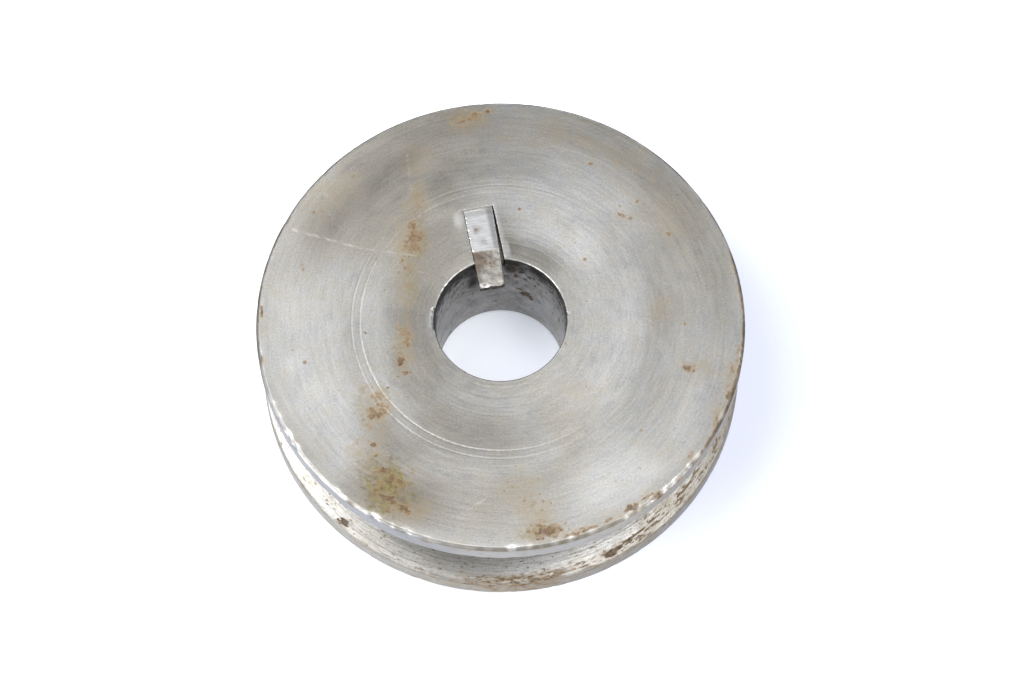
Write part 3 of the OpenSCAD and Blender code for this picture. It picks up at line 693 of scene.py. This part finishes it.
    # painted light: bright patches on the face beside the key, where light thrown off the key's sides falls
    for cu, cv, au, av, k in ((18.0, -3.2, 1.7, 0.95, 0.55), (11.6, 3.4, 1.9, 0.55, 0.5), (14.6, 3.15, 1.8, 0.35, 0.25)):
        uu, vv = x[f] * U[0] + y[f] * U[1], x[f] * V[0] + y[f] * V[1]
        bare_and_painted_light[f] = np.maximum(bare_and_painted_light[f], k * smooth(-np.hypot((uu - cu) / au, (vv - cv) / av), -1.15, -0.2))
    # the hidden back face carries the same light stains and a worn rim
    k = np.where(z < 0.35)[0]
    wide_n, mid_n, fine_n = waves(p[k], 101, 9.0, 40), waves(p[k], 102, 2.4, 40), waves(p[k], 103, 0.8, 40)
    tan_[k] = np.maximum(tan_[k], 0.55 * smooth(wide_n + 0.35 * mid_n, 0.2, 1.5))
    rust[k] = np.maximum(rust[k], 0.75 * smooth(0.8 * wide_n + 0.5 * mid_n + 0.45 * fine_n, 1.25, 2.0))
    tone_and_sheen[k] = 0.16 * waves(p[k], 104, 12.0, 30)
    olive[k] = np.maximum(olive[k], 0.30 * smooth(waves(p[k], 105, 7.0, 30), 0.7, 1.6))
    bare_and_painted_light[k] = np.maximum(bare_and_painted_light[k], 0.30 * np.exp(-((r[k] - (R_OUT - 0.3)) / 0.22) ** 2) * np.clip(0.5 + 0.6 * fourier(th[k], 106, 10, 90, 0.2), 0, 1))
    # flat faces of the slot
    uu, vv = x * U[0] + y * U[1], x * V[0] + y * V[1]
    slot_side = (z < WIDTH - 0.03) & (z > SLOT_Z - 0.05) & (np.abs(vv) < 3.2) & (uu > 10.1) & (uu < SLOT_END + 0.4)
    # painted light: the slot's faces get little darkening and a bare-metal brightness, lifting the shade of the narrow
    # gap
    grime_and_shade[slot_side] = 0.10
    bare_and_painted_light[slot_side] = 0.35
    edge_line = (z > WIDTH - 0.5) & (vv > 2.62) & (vv < 3.15) & (uu > 10.2) & (uu < SLOT_END + 0.4)
    bare_and_painted_light[edge_line] = np.maximum(bare_and_painted_light[edge_line], 0.34 + 0.30 * smooth(-uu[edge_line], -14.5, -11.0))
    edge_end = (z > WIDTH - 0.5) & (np.abs(vv) < 3.0) & (uu > SLOT_END - 0.02) & (uu < SLOT_END + 0.3)
    bare_and_painted_light[edge_end] = np.maximum(bare_and_painted_light[edge_end], 0.30)
    for nme, val in (("rust", rust), ("tan", tan_), ("olive", olive), ("grime_and_shade", grime_and_shade), ("bare_and_painted_light", bare_and_painted_light), ("scratch", scratch), ("soot_and_shade", soot_and_shade), ("painted_floor_reflection", painted_floor_reflection)):
        put(me, nme, np.clip(val, 0, 1))
    put(me, "tone_and_sheen", np.clip(tone_and_sheen, -0.8, 0.8))
    put(me, "fleck", fleck)
    put(me, "wall", np.clip(wall * smooth(r, 26.6, 27.6) + 0.45 * ((r > 37.6) & (z > 0.4) & (z < WIDTH - 0.4)), 0, 1))


def paint_key(me):
    n = len(me.vertices)
    co = np.empty(n * 3); me.vertices.foreach_get("co", co)
    p = co.reshape(-1, 3) / MM
    x, y, z = p.T
    uu, vv = x * U[0] + y * U[1], x * V[0] + y * V[1]
    top = z > key_top(uu) - 0.45
    dull = smooth(-uu, -(RIDGE_R + 0.04), -(RIDGE_R - 0.04))
    dull = np.maximum(dull, 1.0 * ~top)
    bev = smooth(uu, 18.3, 18.5) * top
    rust, tan_, bare_and_painted_light = np.zeros(n), np.zeros(n), np.zeros(n)
    n1, n2 = waves(p, 91, 1.3, 30), waves(p, 92, 0.5, 30)
    def blot(cu, cv, a, b, k, arr, ragged=0.4):
        q = np.hypot((uu - cu) / a, (vv - cv) / b) + ragged * (0.5 * n1 + 0.5 * n2)
        arr[:] = np.maximum(arr, k * smooth(-q, -1.1, -0.35) * top)
    blot(16.0, -0.75, 0.50, 0.42, 0.80, rust, 0.3); blot(13.75, -0.15, 0.46, 0.34, 0.65, rust, 0.35); blot(13.4, 0.15, 0.3, 0.3, 0.55, rust, 0.4)
    blot(10.3, -0.35, 0.40, 0.42, 0.75, rust); blot(9.9, 0.35, 0.30, 0.26, 1.0, rust); blot(10.7, 0.0, 0.3, 0.3, 0.5, rust)
    blot(9.4, -1.55, 0.5, 0.35, 0.7, rust); blot(7.0, 1.75, 0.5, 0.35, 0.6, rust); blot(6.9, -1.0, 0.22, 0.20, 0.8, rust)
    blot(6.5, -1.9, 0.5, 0.3, 0.5, rust)
    blot(11.2, -1.75, 0.9, 0.35, 0.55, rust, 0.9); blot(10.0, -1.9, 0.9, 0.25, 0.7, rust, 0.9); blot(8.6, -1.9, 0.8, 0.2, 0.5, rust, 0.9)
    blot(6.6, 1.75, 0.7, 0.25, 0.7, rust, 0.9); blot(8.6, 1.85, 1.2, 0.12, 0.6, rust, 0.9); blot(11.0, 1.9, 1.0, 0.12, 0.5, rust, 0.9)
    g = np.random.default_rng(79)
    for _ in range(26):
        blot(g.uniform(6.6, 11.9), g.uniform(-1.9, 1.7), g.uniform(0.10, 0.22), g.uniform(0.10, 0.2), g.uniform(0.3, 0.7), rust, 0.6)
    blot(16.0, -0.75, 0.9, 0.75, 0.5, tan_, 0.3); blot(13.7, -0.05, 0.8, 0.6, 0.4, tan_, 0.3)
    blot(10.9, -1.2, 1.5, 1.1, 0.9, tan_, 0.3); blot(10.6, 0.2, 1.7, 1.2, 0.55, tan_, 0.3); blot(9.2, -1.7, 1.2, 0.5, 0.7, tan_, 0.3)
    blot(7.2, 1.7, 0.9, 0.5, 0.5, tan_, 0.3)
    vl = -KEY_SIDE
    vr = -KEY_SIDE + np.interp(uu, [TIP_R, SLOT_END], [TIP_W, KEY_W + 0.13])
    el = np.exp(-((vv - vl - 0.06) / 0.13) ** 2) * (z > key_top(uu) - 0.28)
    er = np.exp(-((vv - vr + 0.06) / 0.12) ** 2) * (z > key_top(uu) - 0.28)
    bare_and_painted_light = np.maximum(bare_and_painted_light, el * (uu > RIDGE_R) * (0.55 + 0.4 * n2))
    bare_and_painted_light = np.maximum(bare_and_painted_light, er * (uu > 10.6) * (0.28 + 0.3 * n2))
    # painted highlight: a bright line along the ridge between the two facets
    bare_and_painted_light = np.maximum(bare_and_painted_light, np.exp(-((uu - RIDGE_R - 0.05) / 0.09) ** 2) * top * (0.55 + 0.35 * n1))
    bare_and_painted_light = np.maximum(bare_and_painted_light, smooth(-uu, -(TIP_R + 1.1), -(TIP_R + 0.5)) * top * (0.14 + 0.35 * n1))
    under = (~top) * 1.0
    # painted light: the right side's upper part, seen in the gap to the slot wall, keeps the lighter metal colour
    side = (vv > vr - 0.10) & (z > key_top(uu) - 1.6) & (uu > 9.6)
    under[side] = 0.0
    shade = np.zeros(n)
    shade = np.maximum(shade, 0.62 * smooth(uu, 8.2, 9.8) * smooth(-uu, -12.2, -11.7) * smooth(-vv + 0.5 * n1, -0.9, 1.4) * top)
    shade = np.maximum(shade, 0.55 * np.exp(-((vv + 1.8) / 0.45) ** 2) * smooth(-uu, -11.0, -9.0) * top)
    rust = np.maximum(rust, under * smooth(n1, 0.2, 1.1) * 0.5)
    for nme, val in (("rust", rust), ("tan", tan_), ("dull", dull), ("bare_and_painted_light", bare_and_painted_light), ("bevel", bev), ("under", under), ("shade", shade)):
        put(me, nme, np.clip(val, 0, 1))


# ---------------------------------------------------------------- node helpers
class Nodes:
    def __init__(self, name):
        self.mat = bpy.data.materials.new(name)
        self.mat.use_nodes = True
        self.t = self.mat.node_tree
        self.t.nodes.clear()

    def set(self, sock, val):
        if isinstance(val, bpy.types.NodeSocket):
            self.t.links.new(val, sock)
        elif isinstance(val, (int, float)) and hasattr(sock, "default_value") and not isinstance(sock.default_value, (int, float)):
            sock.default_value = [val] * len(sock.default_value)
        else:
            sock.default_value = val

    def add(self, kind, props=None, **ins):
        n = self.t.nodes.new(kind)
        for k, v in (props or {}).items():
            setattr(n, k, v)
        for k, v in ins.items():
            self.set(n.inputs[int(k[1:])] if k[0] == "i" and k[1:].isdigit() else n.inputs[k.replace("_", " ")], v)
        return n

    def math(self, op, a, b=None, c=None, clamp=False):
        n = self.t.nodes.new("ShaderNodeMath"); n.operation = op; n.use_clamp = clamp
        for i, v in enumerate((a, b, c)):
            if v is not None:
                self.set(n.inputs[i], v)
        return n.outputs[0]

    def attr(self, name):
        n = self.t.nodes.new("ShaderNodeAttribute"); n.attribute_name = name
        return n.outputs["Fac"]

    def mix(self, fac, a, b, blend="MIX"):
        n = self.t.nodes.new("ShaderNodeMix"); n.data_type = "RGBA"; n.blend_type = blend
        self.set(n.inputs[0], fac)
        for s, v in ((n.inputs[6], a), (n.inputs[7], b)):
            if isinstance(v, tuple):
                s.default_value = (*v, 1)
            else:
                self.t.links.new(v, s)
        return n.outputs[2]

    def mixf(self, fac, a, b):
        n = self.t.nodes.new("ShaderNodeMix"); n.data_type = "FLOAT"
        self.set(n.inputs[0], fac); self.set(n.inputs[2], a); self.set(n.inputs[3], b)
        return n.outputs[0]

    def ramp(self, x, lo, hi, a=0.0, b=1.0, kind="SMOOTHSTEP"):
        n = self.t.nodes.new("ShaderNodeMapRange"); n.interpolation_type = kind
        self.set(n.inputs["Value"], x)
        for k, v in (("From Min", lo), ("From Max", hi), ("To Min", a), ("To Max", b)):
            n.inputs[k].default_value = v
        return n.outputs["Result"]

    def noise(self, vec, scale, detail=3.0, rough=0.6, w=None, distort=0.0):
        n = self.t.nodes.new("ShaderNodeTexNoise")
        n.noise_dimensions = "4D" if w is not None else "3D"
        self.set(n.inputs["Vector"], vec)
        if w is not None:
            self.set(n.inputs["W"], w)
        n.inputs["Scale"].default_value = scale
        n.inputs["Detail"].default_value = detail
        n.inputs["Roughness"].default_value = rough
        n.inputs["Distortion"].default_value = distort
        return n.outputs["Fac"]

    def position(self):
        tc = self.t.nodes.new("ShaderNodeTexCoord")
        v = self.t.nodes.new("ShaderNodeVectorMath"); v.operation = "SCALE"
        self.t.links.new(tc.outputs["Object"], v.inputs[0]); v.inputs["Scale"].default_value = 1000.0
        return v.outputs[0]

    def combine(self, x, y, z):
        n = self.t.nodes.new("ShaderNodeCombineXYZ")
        for s, v in zip(n.inputs, (x, y, z)):
            self.set(s, v)
        return n.outputs[0]

    def out(self, shader):
        o = self.t.nodes.new("ShaderNodeOutputMaterial")
        self.t.links.new(shader, o.inputs["Surface"])
        return self.mat


def steel_body():
    N = Nodes("turned_steel_worn")
    P = N.position()
    sep = N.t.nodes.new("ShaderNodeSeparateXYZ"); N.t.links.new(P, sep.inputs[0])
    X, Y, Z = sep.outputs
    r = N.math("SQRT", N.math("ADD", N.math("MULTIPLY", X, X), N.math("MULTIPLY", Y, Y)))
    c, s = N.math("DIVIDE", X, r), N.math("DIVIDE", Y, r)

    def rings(freq, turn, detail, rough):
        v = N.combine(N.math("MULTIPLY", r, freq), N.math("MULTIPLY", c, turn), N.math("MULTIPLY", s, turn))
        return N.noise(v, 1.0, detail, rough, w=N.math("MULTIPLY", Z, freq))

    fine = rings(7.0, 7.0, 3.0, 0.75)
    mid = rings(1.7, 4.0, 4.0, 0.7)
    wide = rings(0.42, 2.2, 3.0, 0.6)
    cloud = N.noise(P, 0.085, 4.0, 0.55, distort=0.4)
    patch = N.noise(P, 0.42, 5.0, 0.62)
    grain = N.noise(P, 3.1, 4.0, 0.7)
    speck = N.noise(P, 5.5, 2.0, 0.5)

    # tone carries the painted sheen and shade lobes, partly stains, and random tone
    lobe = N.attr("tone_and_sheen")
    steel = N.mix(N.ramp(N.math("ADD", lobe, N.math("SUBTRACT", cloud, 0.5)), -0.28, 0.22), (0.374, 0.355, 0.322), (0.392, 0.390, 0.386))
    steel = N.mix(N.ramp(patch, 0.42, 0.74, 0.0, 0.8), steel, (0.335, 0.315, 0.278))
    tone_and_sheen = N.math("ADD", N.math("ADD", N.math("MULTIPLY", N.math("SUBTRACT", fine, 0.5), 0.52), N.math("MULTIPLY", N.math("SUBTRACT", mid, 0.5), 0.14)),
                  N.math("ADD", N.math("MULTIPLY", N.math("SUBTRACT", wide, 0.5), 0.10), N.math("MULTIPLY", N.math("SUBTRACT", grain, 0.5), 0.85)))
    tone_and_sheen = N.math("ADD", tone_and_sheen, N.math("MULTIPLY", N.math("SUBTRACT", patch, 0.5), 0.30))
    tone_and_sheen = N.math("MULTIPLY", N.math("ADD", tone_and_sheen, 1.0), N.math("ADD", lobe, 1.0))
    steel = N.mix(1.0, steel, N.combine(tone_and_sheen, tone_and_sheen, tone_and_sheen), "MULTIPLY")
    # painted reflection of the shadowed floor on the lands, bluish lilac
    steel = N.mix(N.attr("painted_floor_reflection"), steel, (0.232, 0.238, 0.272))
    # plain ring lines on the groove's walls
    lines = N.noise(N.combine(N.math("MULTIPLY", N.math("ADD", r, Z), 3.4), N.math("MULTIPLY", c, 3.0), N.math("MULTIPLY", s, 3.0)), 1.0, 4.0, 0.85)
    amount = N.math("MULTIPLY", N.attr("wall"), N.math("MULTIPLY", N.math("SUBTRACT", lines, 0.5), 1.7))
    lined = N.math("ADD", 1.0, amount)
    steel = N.mix(1.0, steel, N.combine(lined, lined, lined), "MULTIPLY")
    pit = N.ramp(speck, 0.70, 0.76)
    steel = N.mix(N.math("MULTIPLY", pit, 0.55), steel, (0.16, 0.13, 0.10))

    # grime and painted shade darken the steel
    grime_and_shade = N.attr("grime_and_shade")
    dark = N.math("MULTIPLY", grime_and_shade, N.ramp(patch, 0.25, 0.7, 0.8, 1.05))
    steel = N.mix(dark, steel, (0.115, 0.110, 0.100))
    tan_ = N.math("MULTIPLY", N.attr("tan"), N.ramp(patch, 0.30, 0.62, 0.45, 1.2), clamp=True)
    steel = N.mix(N.math("MULTIPLY", tan_, 0.72), steel, (0.296, 0.240, 0.158))
    olive = N.math("MULTIPLY", N.attr("olive"), N.ramp(patch, 0.28, 0.60, 0.5, 1.2), clamp=True)
    olive_col = N.mix(N.ramp(N.noise(P, 1.1, 5.0, 0.7), 0.42, 0.62), (0.205, 0.176, 0.068), (0.105, 0.073, 0.029))
    steel = N.mix(N.math("MULTIPLY", olive, 0.92), steel, olive_col)
    rust_in = N.attr("rust")
    ragged = N.math("ADD", N.math("MULTIPLY", N.math("SUBTRACT", grain, 0.5), 0.9), N.math("MULTIPLY", N.math("SUBTRACT", fine, 0.5), 0.5))
    rust = N.ramp(N.math("ADD", rust_in, N.math("MULTIPLY", ragged, N.ramp(rust_in, 0.02, 0.30, 0.0, 1.5))), 0.06, 0.98, kind="LINEAR")
    mottle = N.noise(P, 2.1, 5.0, 0.75)
    core = N.ramp(N.math("ADD", rust, N.math("MULTIPLY", N.math("SUBTRACT", mottle, 0.5), 1.3)), 0.42, 1.12)
    rust_col = N.mix(core, (0.232, 0.152, 0.074), (0.090, 0.048, 0.022))
    cover = N.math("MULTIPLY", N.ramp(rust, 0.0, 0.75), N.ramp(mottle, 0.30, 0.62, 0.55, 0.98))
    colour = N.mix(cover, steel, rust_col)
    # fine dark flecks strung along the rings of the groove
    fl = N.noise(N.combine(N.math("MULTIPLY", N.math("ADD", r, Z), 4.6), N.math("MULTIPLY", c, 42.0), N.math("MULTIPLY", s, 42.0)), 1.0, 2.0, 0.6)
    fl = N.math("MULTIPLY", N.ramp(fl, 0.60, 0.70), N.attr("fleck"))
    colour = N.mix(N.math("MULTIPLY", fl, 0.80), colour, (0.110, 0.088, 0.068))
    # soot and painted shade: near black on edges, on the bore's mouth band, around the key's tip and on specks
    colour = N.mix(N.attr("soot_and_shade"), colour, (0.030, 0.026, 0.022))
    # bare metal and painted light: worn edges, burrs, painted highlights and glows turn pale and smooth
    bare_and_painted_light = N.math("MULTIPLY", N.attr("bare_and_painted_light"), N.ramp(grain, 0.25, 0.55, 0.7, 1.1), clamp=True)
    colour = N.mix(bare_and_painted_light, colour, (0.80, 0.79, 0.77))
    scratch = N.math("MULTIPLY", N.attr("scratch"), 0.75)
    colour = N.mix(scratch, colour, (0.78, 0.76, 0.72))

    rough = N.math("ADD", 0.40, N.math("MULTIPLY", N.math("SUBTRACT", mid, 0.5), 0.22))
    rough = N.math("ADD", rough, N.math("MULTIPLY", N.math("SUBTRACT", patch, 0.5), 0.16))
    rough = N.mixf(N.math("MULTIPLY", tan_, 0.5), rough, 0.58)
    rough = N.mixf(cover, rough, 0.80)
    rough = N.mixf(N.attr("soot_and_shade"), rough, 0.85)
    rough = N.mixf(bare_and_painted_light, rough, 0.24)
    metal = N.math("SUBTRACT", 1.0, N.math("MULTIPLY", cover, 0.95), clamp=True)
    metal = N.math("SUBTRACT", metal, N.math("MULTIPLY", olive, 0.30), clamp=True)

    h = N.math("ADD", N.math("MULTIPLY", fine, 0.55), N.math("MULTIPLY", mid, 0.45))
    h = N.math("ADD", h, N.math("MULTIPLY", grain, 0.35))
    h = N.math("ADD", h, N.math("MULTIPLY", amount, 1.2))
    h = N.math("SUBTRACT", h, N.math("MULTIPLY", pit, 0.8))
    h = N.math("SUBTRACT", h, N.math("MULTIPLY", cover, N.math("ADD", 0.3, grain)))
    h = N.math("SUBTRACT", h, N.math("MULTIPLY", scratch, 0.8))
    bump = N.add("ShaderNodeBump", Strength=0.55, Distance=0.00002, Height=h)
    tang = N.add("ShaderNodeTangent", {"direction_type": "RADIAL", "axis": "Z"})
    b = N.add("ShaderNodeBsdfPrincipled", Base_Color=colour, Metallic=metal, Roughness=rough, Normal=bump.outputs[0])
    b.inputs["Anisotropic"].default_value = 0.45
    N.t.links.new(tang.outputs[0], b.inputs["Tangent"])
    return N.out(b.outputs[0])


def steel_key():
    N = Nodes("key_steel_worn")
    P = N.position()
    # the key's own axes: along it, and across it
    def dot(v):
        n = N.t.nodes.new("ShaderNodeVectorMath"); n.operation = "DOT_PRODUCT"
        N.t.links.new(P, n.inputs[0]); n.inputs[1].default_value = v
        return n.outputs["Value"]
    along, across = dot((float(U[0]), float(U[1]), 0)), dot((float(V[0]), float(V[1]), 0))
    sep = N.t.nodes.new("ShaderNodeSeparateXYZ"); N.t.links.new(P, sep.inputs[0])
    ground = N.noise(N.combine(N.math("MULTIPLY", along, 4.2), N.math("MULTIPLY", across, 0.45), sep.outputs[2]), 1.0, 4.0, 0.75)
    patch = N.noise(P, 0.8, 4.0, 0.6)
    grain = N.noise(P, 4.0, 4.0, 0.7)
    dull = N.attr("dull")
    under = N.attr("under")
    bright = N.mix(N.ramp(ground, 0.30, 0.70), (0.66, 0.66, 0.66), (0.82, 0.82, 0.82))
    bright = N.mix(N.math("MULTIPLY", N.attr("bevel"), 0.5), bright, (0.70, 0.70, 0.69))
    # painted shade: the right-hand third of the ground facet is darker and cooler
    side = N.ramp(across, 1.10, 1.75)
    bright = N.mix(N.math("MULTIPLY", side, 0.85), bright, (0.36, 0.36, 0.37))
    rough_metal = N.mix(N.ramp(grain, 0.3, 0.7), (0.25, 0.24, 0.22), (0.36, 0.35, 0.33))
    rough_metal = N.mix(N.ramp(patch, 0.42, 0.7), rough_metal, (0.22, 0.20, 0.17))
    colour = N.mix(dull, bright, rough_metal)
    colour = N.mix(N.attr("shade"), colour, (0.085, 0.074, 0.064))
    colour = N.mix(under, colour, (0.14, 0.125, 0.11))
    tan_ = N.math("MULTIPLY", N.attr("tan"), N.ramp(patch, 0.3, 0.6, 0.6, 1.15), clamp=True)
    colour = N.mix(N.math("MULTIPLY", tan_, 0.8), colour, (0.165, 0.125, 0.095))
    rust = N.ramp(N.math("ADD", N.attr("rust"), N.math("MULTIPLY", N.math("SUBTRACT", grain, 0.5), 0.9)), 0.15, 0.95)
    colour = N.mix(N.math("MULTIPLY", rust, 0.85), colour, (0.125, 0.080, 0.050))
    # bare metal and painted light: worn edges, the burr and the painted ridge highlight turn pale and smooth
    bare_and_painted_light = N.math("MULTIPLY", N.attr("bare_and_painted_light"), N.ramp(grain, 0.25, 0.5, 0.7, 1.05), clamp=True)
    colour = N.mix(bare_and_painted_light, colour, (0.88, 0.87, 0.85))
    rough = N.mixf(dull, N.math("ADD", 0.26, N.math("MULTIPLY", ground, 0.12)), N.math("ADD", 0.50, N.math("MULTIPLY", grain, 0.12)))
    rough = N.mixf(rust, rough, 0.85)
    rough = N.mixf(bare_and_painted_light, rough, 0.26)
    metal = N.math("SUBTRACT", 1.0, N.math("MULTIPLY", rust, 0.85), clamp=True)
    h = N.mixf(dull, N.math("MULTIPLY", ground, 0.5), N.math("ADD", grain, N.math("MULTIPLY", patch, 0.7)))
    h = N.math("SUBTRACT", h, N.math("MULTIPLY", rust, 0.6))
    bump = N.add("ShaderNodeBump", Strength=0.6, Distance=0.00003, Height=h)
    b = N.add("ShaderNodeBsdfPrincipled", Base_Color=colour, Metallic=metal, Roughness=rough, Normal=bump.outputs[0])
    return N.out(b.outputs[0])


def floor_material():
    N = Nodes("studio_floor")
    n = N.noise(N.position(), 0.02, 3.0, 0.5)
    col = N.mix(n, (0.90, 0.91, 0.93), (0.93, 0.94, 0.955))
    # painted shadow: the floor is darker and bluer beside the part, on its right
    P = N.position()
    sp = N.t.nodes.new("ShaderNodeSeparateXYZ"); N.t.links.new(P, sp.inputs[0])
    dx = N.math("SUBTRACT", sp.outputs[0], 34.0)
    d = N.math("SQRT", N.math("ADD", N.math("MULTIPLY", dx, dx), N.math("MULTIPLY", sp.outputs[1], sp.outputs[1])))
    painted_shadow = N.ramp(d, 14.0, 62.0, 1.0, 0.0)
    col = N.mix(painted_shadow, col, (0.52, 0.54, 0.66))
    b = N.add("ShaderNodeBsdfPrincipled", Base_Color=col, Roughness=0.75)
    b.inputs["Emission Color"].default_value = (0.88, 0.925, 1.0, 1)
    # painted light: the floor glows brighter under the bore
    near = N.math("SQRT", N.math("ADD", N.math("MULTIPLY", sp.outputs[0], sp.outputs[0]), N.math("MULTIPLY", sp.outputs[1], sp.outputs[1])))
    N.set(b.inputs["Emission Strength"], N.ramp(near, 8.5, 12.0, FLOOR_GLOW + 0.12, FLOOR_GLOW))
    return N.out(b.outputs[0])


# ---------------------------------------------------------------- build
FLOOR_GLOW = 0.36
col = bpy.context.scene.collection


def link(me, name, mat):
    o = bpy.data.objects.new(name, me)
    col.objects.link(o)
    me.materials.clear(); me.materials.append(mat)
    return o


body_me = turned_body()
flip_if_inside_out(body_me)
body = link(body_me, "pulley_turned", steel_body())
cut = bpy.data.objects.new("cutter", slot_cutter()); col.objects.link(cut)
mod = body.modifiers.new("slot", "BOOLEAN")
mod.operation = "DIFFERENCE"; mod.object = cut; mod.solver = "MANIFOLD"
dg = bpy.context.evaluated_depsgraph_get()
done = bpy.data.meshes.new_from_object(body.evaluated_get(dg), depsgraph=dg)
body.modifiers.clear()
old = body.data
body.data = done
bpy.data.meshes.remove(old)
cut_me = cut.data
bpy.data.objects.remove(cut); bpy.data.meshes.remove(cut_me)
body.data.materials.clear(); body.data.materials.append(bpy.data.materials["turned_steel_worn"])
paint_body(body.data)
for me in (body.data,):
    me.polygons.foreach_set("use_smooth", np.ones(len(me.polygons), bool))
key_me = key_mesh()
paint_key(key_me)
key = link(key_me, "key_bar", steel_key())
key_me.polygons.foreach_set("use_smooth", np.ones(len(key_me.polygons), bool))

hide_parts("pulley_body"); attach(body, "root")
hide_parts("drive_key"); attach(key, "root")

# ---------------------------------------------------------------- studio
floor_me = bpy.data.meshes.new("floor")
S = 3.0
floor_me.from_pydata([(-S, -S, 0), (S, -S, 0), (S, S, 0), (-S, S, 0)], [], [(0, 1, 2, 3)])
floor = link(floor_me, "floor", floor_material())

world = bpy.data.worlds.new("studio"); bpy.context.scene.world = world
world.use_nodes = True
bg = world.node_tree.nodes["Background"]
bg.inputs["Color"].default_value = (0.96, 0.98, 1.0, 1)
bg.inputs["Strength"].default_value = 0.66


def softbox(name, loc, size, watts, colour=(1, 1, 1), aim=(0, 0, 0.01)):
    li = bpy.data.lights.new(name, "AREA")
    li.shape = "RECTANGLE"; li.size, li.size_y = size
    li.energy = watts; li.color = colour
    o = bpy.data.objects.new(name, li)
    o.location = loc
    o.rotation_euler = (Vector(aim) - Vector(loc)).to_track_quat("-Z", "Y").to_euler()
    col.objects.link(o)
    return o


softbox("box_left", (-0.48, 0.10, 0.88), (0.36, 0.62), 6.0, (1.0, 0.995, 0.985))
softbox("box_right", (0.40, -0.14, 0.92), (0.30, 0.50), 4.2, (1.0, 1.0, 1.0))
softbox("box_low_left", (-0.80, -0.45, 0.42), (0.5, 0.4), 2.6)
softbox("box_low_right", (0.85, -0.30, 0.40), (0.5, 0.4), 2.4, (0.95, 0.97, 1.0))

# camera: fitted to the object's own ellipses, in units of its outer radius
ELEV, DIST, LENS, ROLL = math.radians(66.379), 12.8375, 110.47, 0.0035
R = R_OUT * MM
top_c = Vector((0, 0, WIDTH * MM))
C = Vector((0, -DIST * math.cos(ELEV), DIST * math.sin(ELEV))) * R + top_c
T = Vector((0.04534, -0.09925, 0)) * R + top_c
fwd = (T - C).normalized()
right = fwd.cross(Vector((0, 0, 1))).normalized()
up = right.cross(fwd)
right2 = right * math.cos(ROLL) - up * math.sin(ROLL)
up2 = right * math.sin(ROLL) + up * math.cos(ROLL)
cam = bpy.data.cameras.new("camera")
cam.sensor_fit = "HORIZONTAL"; cam.sensor_width = 36.0; cam.lens = LENS
cam.clip_start, cam.clip_end = 0.01, 20.0
camo = bpy.data.objects.new("camera", cam)
m = Matrix((right2, up2, -fwd)).transposed().to_4x4()
m.translation = C
camo.matrix_world = m
col.objects.link(camo)
bpy.context.scene.camera = camo

vs = bpy.context.scene.view_settings
vs.view_transform = "Standard"; vs.look = "None"; vs.exposure = 0.0; vs.gamma = 1.0
